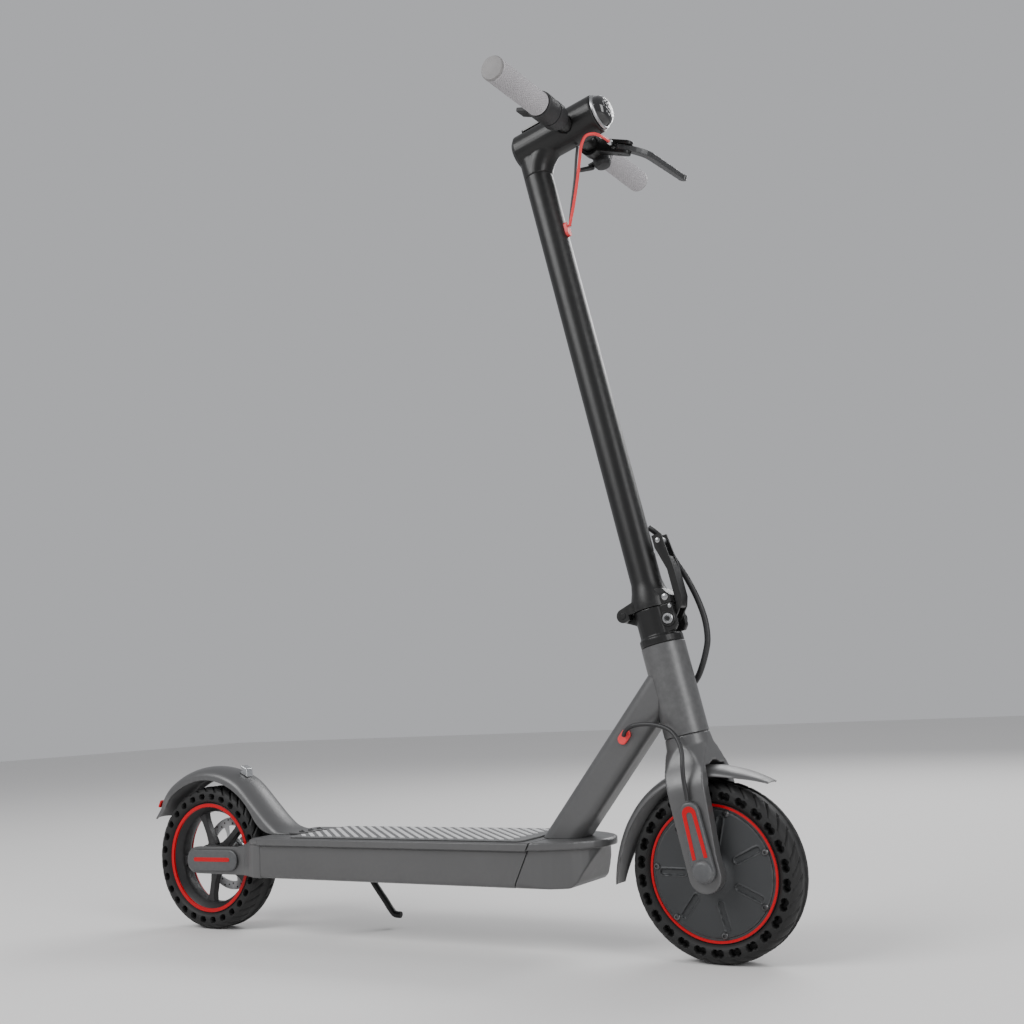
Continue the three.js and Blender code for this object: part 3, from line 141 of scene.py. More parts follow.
def math_node(tree, operation, first, second):
    node = tree.nodes.new("ShaderNodeMath")
    node.operation = operation
    for slot, value in zip(node.inputs, (first, second)):
        if isinstance(value, bpy.types.NodeSocket):
            tree.links.new(value, slot)
        else:
            slot.default_value = value
    return node.outputs[0]


def mix_colours(tree, mask, first, second):
    node = tree.nodes.new("ShaderNodeMix")
    node.data_type = "RGBA"
    tree.links.new(mask, node.inputs[0])
    tree.links.new(first, node.inputs[6])
    tree.links.new(second, node.inputs[7])
    return node.outputs[2]


def noise_node(tree, vector, scale, detail):
    node = tree.nodes.new("ShaderNodeTexNoise")
    tree.links.new(vector, node.inputs["Vector"])
    if isinstance(scale, bpy.types.NodeSocket):
        tree.links.new(scale, node.inputs["Scale"])
    else:
        node.inputs["Scale"].default_value = scale
    node.inputs["Detail"].default_value = detail
    return node.outputs["Fac"]


def spread(tree, value, low, high):
    node = tree.nodes.new("ShaderNodeMapRange")
    tree.links.new(value, node.inputs["Value"])
    node.inputs["From Min"].default_value = low
    node.inputs["From Max"].default_value = high
    return node.outputs["Result"]


COLOUR = "NodeSocketColor"
NUMBER = "NodeSocketFloat"

# Grain: the fine tooth of a coat or moulding, with slow patches in its colour and gloss.
grain, grain_in, grain_out = new_group(
    "grain",
    [("Colour", COLOUR, (0.5, 0.5, 0.5, 1)), ("Patch Colour", COLOUR, (0.4, 0.4, 0.4, 1)),
     ("Scale", NUMBER, 1200.0), ("Roughness", NUMBER, 0.5), ("Roughness Spread", NUMBER, 0.1)],
    [("Colour", COLOUR), ("Roughness", NUMBER), ("Height", NUMBER)],
)
where = grain.nodes.new("ShaderNodeTexCoord").outputs["Object"]
tooth = noise_node(grain, where, grain_in.outputs["Scale"], 3)
patches = spread(grain, noise_node(grain, where, 9, 5), 0.35, 0.68)
streaks = noise_node(grain, where, 70, 6)
grain.links.new(
    mix_colours(grain, patches, grain_in.outputs["Colour"], grain_in.outputs["Patch Colour"]),
    grain_out.inputs["Colour"],
)
swing = math_node(grain, "SUBTRACT", math_node(grain, "MULTIPLY", streaks, 2.0), 1.0)
offset = math_node(grain, "MULTIPLY", swing, grain_in.outputs["Roughness Spread"])
grain.links.new(math_node(grain, "ADD", grain_in.outputs["Roughness"], offset), grain_out.inputs["Roughness"])
grain.links.new(tooth, grain_out.inputs["Height"])

# Edge scuffing and painted highlight: the convex corners of a coat are coloured lighter in scuffed patches,
# partly as handling scuffs and partly as a painted highlight along the edges.
edge_wear_and_highlight, wear_and_highlight_in, wear_and_highlight_out = new_group(
    "scuffed edges and painted highlight",
    [("Colour", COLOUR, (0.5, 0.5, 0.5, 1)), ("Scuff And Highlight Colour", COLOUR, (0.7, 0.7, 0.7, 1)),
     ("Amount", NUMBER, 0.5)],
    [("Colour", COLOUR), ("Mask", NUMBER)],
)
# Convex corners, found by pointiness, take the lighter colour: handling scuffs broken up by noise, and a
# painted highlight along the edges.
corner = spread(edge_wear_and_highlight, edge_wear_and_highlight.nodes.new("ShaderNodeNewGeometry").outputs["Pointiness"], 0.515, 0.585)
scuff_place = edge_wear_and_highlight.nodes.new("ShaderNodeTexCoord").outputs["Object"]
scuffs = spread(edge_wear_and_highlight, noise_node(edge_wear_and_highlight, scuff_place, 160, 5), 0.38, 0.66)
scuffed_and_lit = math_node(edge_wear_and_highlight, "MULTIPLY", corner, scuffs)
mask = math_node(edge_wear_and_highlight, "MULTIPLY", scuffed_and_lit, wear_and_highlight_in.outputs["Amount"])
edge_wear_and_highlight.links.new(
    mix_colours(edge_wear_and_highlight, mask, wear_and_highlight_in.outputs["Colour"], wear_and_highlight_in.outputs["Scuff And Highlight Colour"]),
    wear_and_highlight_out.inputs["Colour"],
)
edge_wear_and_highlight.links.new(mask, wear_and_highlight_out.inputs["Mask"])


def finish(name, colour, patch, roughness, metallic=0.0, scale=1400.0, bump=0.15, worn_and_lit=None, wear_and_highlight=0.5,
           coat=0.0, rough_spread=0.07, specular=0.5):
    """A coat, moulding or metal: grain, and corners coloured lighter as handling scuffs and as a painted edge
    highlight, over one shader.
    """
    material = bpy.data.materials.new(name)
    material.use_nodes = True
    tree = material.node_tree
    shader = tree.nodes["Principled BSDF"]
    shader.inputs["Metallic"].default_value = metallic
    shader.inputs["Coat Weight"].default_value = coat
    shader.inputs["Coat Roughness"].default_value = 0.12
    shader.inputs["Specular IOR Level"].default_value = specular
    skin = tree.nodes.new("ShaderNodeGroup")
    skin.node_tree = grain
    skin.inputs["Colour"].default_value = (*colour, 1)
    skin.inputs["Patch Colour"].default_value = (*patch, 1)
    skin.inputs["Scale"].default_value = scale
    skin.inputs["Roughness"].default_value = roughness
    skin.inputs["Roughness Spread"].default_value = rough_spread
    corner_scuff_and_highlight = tree.nodes.new("ShaderNodeGroup")
    corner_scuff_and_highlight.node_tree = edge_wear_and_highlight
    # The corner colour defaults to a lighter tint of the coat, for scuffed paint and a painted edge
    # highlight.
    corner_scuff_and_highlight.inputs["Scuff And Highlight Colour"].default_value = (*(worn_and_lit or [min(1, 1.8 * c + 0.03) for c in colour]), 1)
    corner_scuff_and_highlight.inputs["Amount"].default_value = wear_and_highlight
    tree.links.new(skin.outputs["Colour"], corner_scuff_and_highlight.inputs["Colour"])
    tree.links.new(corner_scuff_and_highlight.outputs["Colour"], shader.inputs["Base Color"])
    tree.links.new(skin.outputs["Roughness"], shader.inputs["Roughness"])
    relief = tree.nodes.new("ShaderNodeBump")
    relief.inputs["Strength"].default_value = bump
    relief.inputs["Distance"].default_value = 0.0004
    tree.links.new(skin.outputs["Height"], relief.inputs["Height"])
    tree.links.new(relief.outputs["Normal"], shader.inputs["Normal"])
    return material


grey_coat = finish("grey powder coat", (0.108, 0.108, 0.109), (0.1, 0.1, 0.101), 0.38, 0.4,
                   worn_and_lit=(0.24, 0.24, 0.242), wear_and_highlight=0.14)


def smooth(mesh, angle):
    mesh.shade_smooth()
    mesh.set_sharp_from_angle(angle=math.radians(angle))


def soften_edges(piece, width, angle):
    bevel = piece.modifiers.new("soft edges", "BEVEL")
    bevel.width = width * MM
    bevel.segments = 3
    bevel.limit_method = "ANGLE"
    bevel.angle_limit = math.radians(angle)
    bevel.harden_normals = False


def attach(piece, material, body, slot, *nodes):
    piece.data.materials.clear()
    piece.data.materials.append(material)
    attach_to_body(piece, body)
    if nodes:
        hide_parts(*nodes)
    return piece


def detailed(node, material, body, slot, width=0.8, angle=38):
    """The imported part's own solid, with its edges rounded over."""
    form = bmesh.new()
    form.from_mesh(frame["nodes"][node].data)
    bmesh.ops.remove_doubles(form, verts=form.verts, dist=2e-6)
    bmesh.ops.dissolve_limit(form, angle_limit=math.radians(1.2), verts=form.verts, edges=form.edges)
    bmesh.ops.recalc_face_normals(form, faces=form.faces)
    mesh = bpy.data.meshes.new(node)
    form.to_mesh(mesh)
    form.free()
    smooth(mesh, angle)
    piece = bpy.data.objects.new(node + "_skin", mesh)
    bpy.context.scene.collection.objects.link(piece)
    soften_edges(piece, width, angle)
    return attach(piece, material, body, slot, node)


def cast(node, material, body, slot, voxel=1.4, rounds=8):
    """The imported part's own solid with the blended corners of a casting."""
    mesh = frame["nodes"][node].data.copy()
    piece = bpy.data.objects.new(node + "_cast", mesh)
    bpy.context.scene.collection.objects.link(piece)
    weld = piece.modifiers.new("weld", "WELD")
    weld.merge_threshold = 2e-6
    even = piece.modifiers.new("even", "REMESH")
    even.mode = "VOXEL"
    even.voxel_size = voxel * MM
    blend = piece.modifiers.new("blend", "SMOOTH")
    blend.iterations = rounds
    blend.factor = 0.5
    bpy.context.view_layer.update()
    made = bpy.data.meshes.new_from_object(piece.evaluated_get(bpy.context.evaluated_depsgraph_get()))
    piece.modifiers.clear()
    piece.data = made
    made.shade_smooth()
    return attach(piece, material, body, slot, node)


detailed("deck_tray", grey_coat, "frame", "frame_paint", 1.1)
cast("front_casting", grey_coat, "frame", "frame_paint", 1.6, 6)

# Deck mat: a sheet of moulded rubber with rows of slanting ribs for grip. The ribs' pale grey is a painted
# highlight on their raised tops. It is glued to the flat top of the tray, and its rounded corners stop short
# of the tray's edges.
MAT_REAR, MAT_FRONT, MAT_HALF, MAT_BASE = 204.0, 597.9, 67.0, 146.3
RIB_PITCH, RIB_WIDTH, RIB_RISE, RIB_MARGIN = 16.0, 7.5, 1.0, 6.0
RIB_LEAN = math.radians(45)


def piece_from(shape, name, place, material, body, slot, *nodes, angle=38, edges=0.0):
    """A piece made from points and faces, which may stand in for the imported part's nodes."""
    verts, faces = shape
    form = bmesh.new()
    made = [form.verts.new(place @ Vector(v)) for v in verts]
    for face in faces:
        corners = [made[i] for i in face]
        if len(set(corners)) > 2:
            form.faces.new(corners)
    bmesh.ops.remove_doubles(form, verts=form.verts, dist=2e-6)
    bmesh.ops.dissolve_degenerate(form, dist=1e-7, edges=form.edges)
    bmesh.ops.recalc_face_normals(form, faces=form.faces)
    mesh = bpy.data.meshes.new(name)
    form.to_mesh(mesh)
    form.free()
    smooth(mesh, angle)
    piece = bpy.data.objects.new(name, mesh)
    bpy.context.scene.collection.objects.link(piece)
    if edges:
        soften_edges(piece, edges, angle)
    return attach(piece, material, body, slot, *nodes)


def merged(*shapes):
    verts, faces = [], []
    for more_verts, more_faces in shapes:
        start = len(verts)
        verts += [tuple(v) for v in more_verts]
        faces += [[i + start for i in face] for face in more_faces]
    return verts, faces


def plate(outline, low, high):
    """An outline in x and y, given its thickness along z."""
    count = len(outline)
    verts = [(u, v, low) for u, v in outline] + [(u, v, high) for u, v in outline]
    sides = [[i, (i + 1) % count, count + (i + 1) % count, count + i] for i in range(count)]
    return verts, [list(range(count))[::-1], list(range(count, 2 * count))] + sides


def arc(u, v, radius, start, end, steps):
    step = math.radians(end - start) / steps
    first = math.radians(start)
    return [(u + radius * math.cos(first + i * step), v + radius * math.sin(first + i * step))
            for i in range(steps + 1)]


def rounded_box(width, height, corner, steps=6):
    u, v = width / 2 - corner, height / 2 - corner
    return (arc(u, v, corner, 0, 90, steps) + arc(-u, v, corner, 90, 180, steps)
            + arc(-u, -v, corner, 180, 270, steps) + arc(u, -v, corner, 270, 360, steps))


mat_rubber = finish("mat rubber", (0.13, 0.131, 0.133), (0.11, 0.111, 0.113), 0.75, scale=900, bump=0.4,
                    worn_and_lit=(0.34, 0.34, 0.34))
# The ribs' pale grey is a painted highlight on their raised tops.
rib_highlight_rubber = finish("rib rubber painted highlight", (0.6, 0.6, 0.605), (0.52, 0.52, 0.525), 0.55, scale=900, bump=0.3,
                    worn_and_lit=(0.66, 0.66, 0.66))
mat_outline = [(u + (MAT_REAR + MAT_FRONT) / 2, v)
               for u, v in rounded_box(MAT_FRONT - MAT_REAR, 2 * MAT_HALF, 10)]
piece_from(plate(mat_outline, MAT_BASE, MAT_BASE + 2.0), "deck_mat_sheet", CHASSIS, mat_rubber, "frame",
           "deck_rubber", "deck_mat", edges=0.6)
ribs = []
reach = MAT_HALF - RIB_MARGIN
lean = 2 * reach * math.tan(RIB_LEAN)
start = MAT_REAR + RIB_MARGIN
stop = MAT_FRONT - 4 * RIB_MARGIN
for i in range(int((stop - start + lean) / RIB_PITCH)):
    foot = start + i * RIB_PITCH
    # Each rib leans back across the mat and is trimmed where it would pass either end.
    enter = max(0.0, (foot - stop) / lean)
    leave = min(1.0, (foot - start) / lean)
    if leave - enter < 0.04:
        continue
    low, high = -reach + enter * 2 * reach, -reach + leave * 2 * reach
    near, far = foot - enter * lean, foot - leave * lean
    ribs.append(plate([(near, low), (near + RIB_WIDTH, low), (far + RIB_WIDTH, high), (far, high)],
                      MAT_BASE + 1.9, MAT_BASE + 2.0 + RIB_RISE))
piece_from(merged(*ribs), "deck_mat_ribs", CHASSIS, rib_highlight_rubber, "frame", "deck_rubber")

# Bottom cover, battery and controller: the cover is a moulded plastic lid screwed under the tray. The
# battery is a pack of cells in shrink wrap and the controller is in a steel case. A rubber flap closes the
# charging socket.
black_plastic = finish("black plastic", (0.014, 0.014, 0.015), (0.02, 0.02, 0.021), 0.55, scale=1800,
                       bump=0.3)
detailed("bottom_cover", black_plastic, "frame", "black_plastic", 0.8)
shrink_wrap = finish("shrink wrap", (0.03, 0.1, 0.35), (0.025, 0.085, 0.3), 0.35, coat=0.3, bump=0.1)
detailed("battery_pack", shrink_wrap, "frame", "battery", 1.2)
steel = finish("brushed steel", (0.5, 0.51, 0.52), (0.42, 0.43, 0.44), 0.3, 1.0, scale=2600, bump=0.12,
               worn_and_lit=(0.7, 0.7, 0.7))
detailed("controller", steel, "frame", "steel", 0.6)
detailed("charge_socket", black_plastic, "frame", "black_plastic", 0.3)
flap_rubber = finish("flap rubber", (0.018, 0.018, 0.019), (0.026, 0.026, 0.027), 0.75, bump=0.35)
detailed("charge_flap", flap_rubber, "charge_flap", "tyre", 0.6)

# Rear casting: two aluminium arms that hold the rear axle, cast in one with the yoke that closes the tray.
# It is coated with the tray, and the steel axle is clamped through the ends of its arms.
cast("rear_casting", grey_coat, "frame", "frame_paint", 1.6, 6)
detailed("rear_axle", steel, "frame", "steel", 0.5)

# Rear axle covers: moulded plastic caps clipped over the axle nuts. Each has a red reflector strip, let into
# its face and standing a little proud of it.
AXLE_Z = 108
COVER_FACE, COVER_BASE = 52.0, 48.3
# Turns an outline drawn in x and z into place, with its thickness towards the left.
SIDEWAYS = Matrix(((1, 0, 0, 0), (0, 0, 1, 0), (0, 1, 0, 0), (0, 0, 0, 1)))


def moved(shape, matrix):
    return [tuple(matrix @ Vector(v)) for v in shape[0]], shape[1]


def stadium(u0, v0, r0, u1, v1, r1, steps=14):
    """The outline round two circles."""
    along = math.degrees(math.atan2(v1 - v0, u1 - u0))
    lean = math.degrees(math.acos((r0 - r1) / math.hypot(u1 - u0, v1 - v0)))
    return (arc(u0, v0, r0, along + lean, along - lean + 360, steps)
            + arc(u1, v1, r1, along - lean, along + lean, steps))


cover_plastic = finish("cover plastic", (0.07, 0.072, 0.075), (0.06, 0.062, 0.065), 0.42, scale=1600,
                       bump=0.25, worn_and_lit=(0.2, 0.2, 0.2))
reflector_red = finish("reflector red", (0.5, 0.0, 0.006), (0.44, 0.0, 0.005), 0.34, scale=700, bump=0.15,
                       worn_and_lit=(0.6, 0.03, 0.03), wear_and_highlight=0.0, specular=0.25)
for side, label in ((-1, "right"), (1, "left")):
    mirror = Matrix.Scale(side, 4, (0, 1, 0))
    cap = moved(plate(stadium(0, AXLE_Z, 15.5, 72, AXLE_Z + 1, 15.5), COVER_BASE, COVER_FACE), SIDEWAYS)
    piece_from(cap, "rear_cap_" + label, CHASSIS @ mirror, cover_plastic, "frame", "frame_paint",
               "rear_cover_" + label, edges=1.6)
    strip = moved(plate(stadium(2, 109.5, 3.0, 70, 110.2, 3.0), COVER_FACE - 0.5, COVER_FACE + 0.4), SIDEWAYS)
    piece_from(strip, "rear_strip_" + label, CHASSIS @ mirror, reflector_red, "frame", "frame_paint",
               edges=0.3)

# Tyres: solid rubber, with blind pockets round each side that make them springy, a groove either side
# of the middle and curved grooves across the shoulders.
TYRE_RADIUS = 108.0
WHEELBASE = 840.0
POCKET_RADIUS = 93.5
GROOVE_PITCH, GROOVE_EDGE = 18.85, 6
tyre_rubber = finish("tyre rubber", (0.011, 0.011, 0.011), (0.016, 0.016, 0.016), 0.58, scale=1100, bump=0.3,
                     worn_and_lit=(0.04, 0.04, 0.041), wear_and_highlight=0.4, specular=0.35)
TYRE_HALF = [(83.4, 19.2), (86.0, 22.4), (88.5, 24.2), (91.5, 24.9), (97.0, 24.8), (100.5, 23.8),
             (103.6, 21.6), (105.9, 18.4), (107.2, 15.0), (TYRE_RADIUS, 11.8), (TYRE_RADIUS, 6.0)]


def lathe(profile, sides, shift=None):
    """A profile of (radius, height) turned about z. shift may move each point by (radius, height)."""
    verts = []
    for i in range(sides):
        angle = 2 * math.pi * i / sides
        for radius, height in profile:
            out, up = shift(angle, radius, height) if shift else (0, 0)
            verts.append(((radius + out) * math.cos(angle), (radius + out) * math.sin(angle), height + up))
    count = len(profile)
    faces = []
    for i in range(sides):
        j = (i + 1) % sides
        for k in range(count):
            m = (k + 1) % count
            faces.append([i * count + k, j * count + k, j * count + m, i * count + m])
    return verts, faces


def resampled(points, step):
    """The same line, with points about a step apart."""
    line = [points[0]]
    for (u0, v0), (u1, v1) in zip(points, points[1:]):
        count = max(1, round(math.hypot(u1 - u0, v1 - v0) / step))
        line += [(u0 + (u1 - u0) * i / count, v0 + (v1 - v0) * i / count) for i in range(1, count + 1)]
    return line


def ramp(value, low, high):
    t = min(1, max(0, (value - low) / (high - low)))
    return t * t * (3 - 2 * t)


def tyre_shape(pockets, half_length, half_height, waist):
    half = resampled(TYRE_HALF, 1.0)
    profile = half + [(r, -y) for r, y in reversed(half)]

    def relief(angle, radius, y):
        out = up = 0.0
        if 86 < radius < 102 and abs(y) > 21:
            pitch = 2 * math.pi / pockets
            along = abs(((angle / pitch) % 1) - 0.5) * pitch * POCKET_RADIUS
            across = radius - POCKET_RADIUS
            end = math.hypot(max(0, along - (half_length - half_height)), across) - half_height
            pinch = abs(across) - (half_height - waist * (1 - ramp(along, 0, half_length - half_height)))
            inside = max(end, pinch)
            up = -math.copysign(11.0 * (1 - ramp(inside, -0.6, 0.3)), y)
        if radius > 101:
            curve = (abs(y) - GROOVE_EDGE) ** 2 * 0.06
            along = angle * TYRE_RADIUS + (curve if y > 0 else -curve + 9)
            groove = abs(((along / GROOVE_PITCH) % 1) - 0.5) * GROOVE_PITCH
            edge = ramp(abs(y), 7.5, 9.5)
            out -= 3.2 * (1 - ramp(groove, 1.7, 2.9)) * edge
            out -= 1.8 * (1 - ramp(abs(abs(y) - 6.4), 0.7, 1.3))
        return out, up

    return lathe(profile, 576, relief)


# Rear wheel: an aluminium rim with five spokes, painted black, on a hub with two ball bearings. A red ring is
# snapped on beside the tyre on each side, and the brake disc bolts to the hub's left end.
# Turns a lathe's axis from z to y.
AXLE = Matrix.Rotation(math.radians(-90), 4, "X")
rear_axle_place = CHASSIS @ Matrix.Translation((0, 0, TYRE_RADIUS)) @ AXLE
piece_from(tyre_shape(28, 5.4, 4.2, 0.3), "rear_tyre_rubber", rear_axle_place, tyre_rubber, "rear_wheel",
           "tyre", "rear_tyre", angle=60)
rim_black = finish("rim black", (0.022, 0.022, 0.023), (0.03, 0.03, 0.031), 0.4, 0.3, worn_and_lit=(0.16, 0.16, 0.16))
RIM_PROFILE = [(83.0, -20.0), (83.0, 20.0), (81.4, 20.0), (79.8, 18.6), (70.5, 10.0), (69.0, 7.0),
               (69.0, -7.0), (70.5, -10.0), (79.8, -18.6), (81.4, -20.0)]
SPOKES, SPOKE_HALF, FIRST_SPOKE = 5, 5.5, 43
rim_shape = lathe(RIM_PROFILE, 144)
hub_shape = lathe([(14, -24), (18.5, -24), (20, -22.5), (20, -12), (17.5, -9), (17.5, 9), (20, 12), (20, 29),
                   (18.5, 30.6), (14, 30.6)], 72)
spoke_side = [(17, -7.5), (24, -7.2), (40, -5), (58, -5), (66, -6.8), (71, -9), (71, 9), (66, 6.8),
              (58, 5), (40, 5), (24, 7.2), (17, 7.5)]
piece_from(rim_shape, "rear_rim_band", rear_axle_place, rim_black, "rear_wheel", "hub_metal", "rear_rim",
           edges=0.5)
piece_from(hub_shape, "rear_hub", rear_axle_place, rim_black, "rear_wheel", "hub_metal", edges=0.4)
for i in range(SPOKES):
    # The lathe's axis runs to the left, so angles seen from the right are taken backwards.
    turn = Matrix.Rotation(math.radians(-FIRST_SPOKE - 360 // SPOKES * i), 4, "Z")
    piece_from(moved(plate(spoke_side, -SPOKE_HALF, SPOKE_HALF), turn), f"rear_spoke_{i + 1}",
               rear_axle_place, rim_black, "rear_wheel", "hub_metal", edges=1.2)
for label in ("left", "right"):
    detailed("rear_bearing_" + label, steel, "rear_wheel", "steel", 0.6)


def ring_shape(inner, outer, face, sink):
    return lathe([(inner, face - sink), (inner + 0.4, face), (outer - 0.4, face), (outer, face - sink)], 144)


for side, label in ((-1, "right"), (1, "left")):
    mirror = Matrix.Scale(side, 4, (0, 0, 1))
    piece_from(ring_shape(76.8, 82.6, 20.9, 2.6), "rear_ring_" + label, rear_axle_place @ mirror,
               reflector_red, "rear_wheel", "red_plastic")

# Brake disc: stainless steel, stamped in one piece with a spider of six arms and bolted to the hub. Its band
# is drilled with three rows of holes.
DISC_FACE, DISC_THICK = 31.0, 2.0
HOLES, HOLE_ROWS, HOLE_RADIUS = 36, (46.5, 49.5, 52.5), 1.5


def disc_shape():
    back = DISC_FACE + DISC_THICK
    band = lathe([(43, DISC_FACE), (56, DISC_FACE), (56, back), (43, back)], 144)
    centre = lathe([(14, DISC_FACE), (26, DISC_FACE), (26, back), (14, back)], 96)
    arms = []
    for i in range(6):
        turn = Matrix.Rotation(math.radians(60 * i + 12), 4, "Z")
        arm = plate([(25, -4.5), (34, -3), (44, -5), (44, 5), (34, 3), (25, 4.5)], DISC_FACE + 0.1,
                    back - 0.1)
        arms.append(moved(arm, turn))
    return merged(band, centre, *arms)


piece_from(disc_shape(), "brake_disc_steel", rear_axle_place, steel, "rear_wheel", "steel", "brake_disc",
           edges=0.3)
# The band is not cut through: near-black plugs sit in the holes as painted shade, where the hub behind would
# show.
hole_shade = finish("painted hole shade", (0.01, 0.01, 0.01), (0.014, 0.014, 0.014), 0.7)
holes = []
for i in range(HOLES):
    turn = Matrix.Rotation(math.radians(360 // HOLES * i), 4, "Z")
    outline = arc(HOLE_ROWS[i % 3], 0, HOLE_RADIUS, 0, 348, 9)
    holes.append(moved(plate(outline, DISC_FACE - 0.06, DISC_FACE + DISC_THICK + 0.06), turn))
piece_from(merged(*holes), "brake_disc_hole_shade", rear_axle_place, hole_shade, "rear_wheel", "steel")

# Caliper: a cast body over the disc with the pads inside, bolted to the left arm of the rear casting. The
# brake cable pulls its short steel arm.
black_coat = finish("black coat", (0.009, 0.009, 0.009), (0.012, 0.012, 0.012), 0.36, 0.15, scale=1700,
                    bump=0.12, worn_and_lit=(0.06, 0.06, 0.06), wear_and_highlight=0.25, specular=0.4)
detailed("caliper", steel, "frame", "black_paint", 1.0)
detailed("caliper_arm", steel, "caliper_arm", "steel", 0.8)

# Rear fender: a moulded shell over the tyre, coated with the frame. Three screws hold its foot to the deck,
# a steel hook on its crown holds the folded stem, and the tail light is fixed to its tail.
FENDER_HALF, FENDER_WALL = 31.0, 2.5
FENDER_ARCH = (4, 15, 28, 42, 56, 70, 80)


def half_arch(wide, depth, top, rise):
    """One face of the shell's section, from the left skirt over the crown to the right one."""
    line = [(wide, depth)]
    line += [(wide * math.cos(math.radians(a)), top + rise * (1 - math.sin(math.radians(a))))
             for a in FENDER_ARCH]
    line.append((0, top))
    return line + [(-y, d) for y, d in reversed(line[:-1])]


def fender_shape(crown, skirt, halves):
    """A channel swept along the crown line. Its walls reach down to the skirt line."""
    verts, faces = [], []
    for top, low, wide in zip(crown, skirt, halves):
        down = Vector((low[0] - top[0], low[1] - top[1]))
        depth = max(down.length, FENDER_WALL + 0.6)
        down = down.normalized()
        # The shell is arched, so that its sides curve over into the crown.
        arch = min(depth - 0.5, 15)
        outer = half_arch(wide, depth, 0, arch)
        inner = half_arch(wide - FENDER_WALL, depth, FENDER_WALL, arch - 1.5)
        section = outer + list(reversed(inner))
        for y, d in section:
            verts.append((top[0] + down.x * d, y, top[1] + down.y * d))
    count = len(section)
    rows = len(crown)
    for i in range(rows - 1):
        for k in range(count):
            m = (k + 1) % count
            faces.append([i * count + k, i * count + m, (i + 1) * count + m, (i + 1) * count + k])
    half = len(outer)
    for start in (0, (rows - 1) * count):
        for k in range(half - 1):
            a, b = start + k, start + k + 1
            # Walk the inner side at the matching share of its length.
            ia = start + count - 1 - round(k * (len(inner) - 1) / (half - 1))
            ib = start + count - 1 - round((k + 1) * (len(inner) - 1) / (half - 1))
            faces.append([a, b, ib, ia] if ia != ib else [a, b, ia])
    return verts, faces


def bezier(p0, p1, p2, p3, steps):
    out = []
    for i in range(1, steps + 1):
        t = i / steps
        out.append(tuple((1 - t) ** 3 * a + 3 * t * (1 - t) ** 2 * b + 3 * t * t * (1 - t) * c + t ** 3 * d
                         for a, b, c, d in zip(p0, p1, p2, p3)))
    return out


CROWN_RADIUS, SKIRT_RADIUS = 139, 119
CROWN_START, CROWN_END = 140, 62
FOOT_TOP, FOOT_SEAT, SWEEP_TOP = 149.3, 146.4, 182
TAIL_X, TAIL_Z = -121.0, 170.0


def skirt_at(angle):
    return SKIRT_RADIUS * math.cos(angle), AXLE_Z + SKIRT_RADIUS * math.sin(angle)


crown_arc = arc(0, AXLE_Z, CROWN_RADIUS, CROWN_START, CROWN_END, 44)
leave = crown_arc[-1]
crown_line = ([(TAIL_X + i * (crown_arc[0][0] - TAIL_X) / 8, TAIL_Z + i * (crown_arc[0][1] - TAIL_Z) / 8)
               for i in range(8)] + crown_arc
              + bezier(leave, (leave[0] + 31, leave[1] - 16), (140, FOOT_TOP), (176, FOOT_TOP), 24))
skirt_line = []
for x, z in crown_line:
    below = skirt_at(math.atan2(z - AXLE_Z, x))
    if x < crown_arc[0][0]:
        # The skirt closes up to the crown at the tail.
        share = (x - TAIL_X) / (crown_arc[0][0] - TAIL_X)
        end = skirt_at(math.radians(CROWN_START))
        below = (TAIL_X + 6 + share * (end[0] - TAIL_X - 6), TAIL_Z - 4 + share * (end[1] - TAIL_Z + 4))
    elif z <= SWEEP_TOP:
        # It flattens out to the foot on the deck.
        share = (SWEEP_TOP - z) / (SWEEP_TOP - FOOT_TOP)
        low = max(FOOT_SEAT, below[1])
        below = (below[0] + share * (x - below[0]),
                 max(FOOT_SEAT, low * (1 - share) + FOOT_SEAT * share))
    skirt_line.append(below)
rear_halves = [FENDER_HALF - 9 * (1 - ramp(x, TAIL_X, TAIL_X + 40)) for x, z in crown_line]
piece_from(fender_shape(crown_line, skirt_line, rear_halves), "rear_fender_shell", CHASSIS, grey_coat,
           "frame", "frame_paint", "rear_fender", angle=50)
flange = [(u + 185, v) for u, v in rounded_box(30, 2 * FENDER_HALF, 8)]
piece_from(plate(flange, FOOT_SEAT - 0.05, FOOT_TOP), "rear_fender_foot", CHASSIS, grey_coat, "frame",
           "frame_paint", edges=0.7)
screw_steel = finish("screw steel", (0.06, 0.06, 0.062), (0.09, 0.09, 0.092), 0.35, 0.9, worn_and_lit=(0.3, 0.3, 0.3))
SCREW = [(0, 0), (4.2, 0), (4.2, 1.2), (3.4, 2.2), (1.9, 2.5), (1.9, 1.0), (0, 1.0)]
for i, y in enumerate((-20, 0, 20)):
    place = CHASSIS @ Matrix.Translation((190, y, FOOT_TOP - 0.1))
    piece_from(lathe(SCREW, 32), f"fender_screw_{i + 1}", place, screw_steel, "frame", "steel")
detailed("fender_hook", steel, "frame", "steel", 0.9)
detailed("tail_light", reflector_red, "frame", "red_plastic", 0.6)

# Kickstand: a bent steel bar with an eye welded to its upper end, painted black. It turns on a pin through
# the lug under the tray's left side.
STAND_X, STAND_Y, STAND_Z = 240.0, 66.3, 78.4
STAND_RADIUS = 4.9


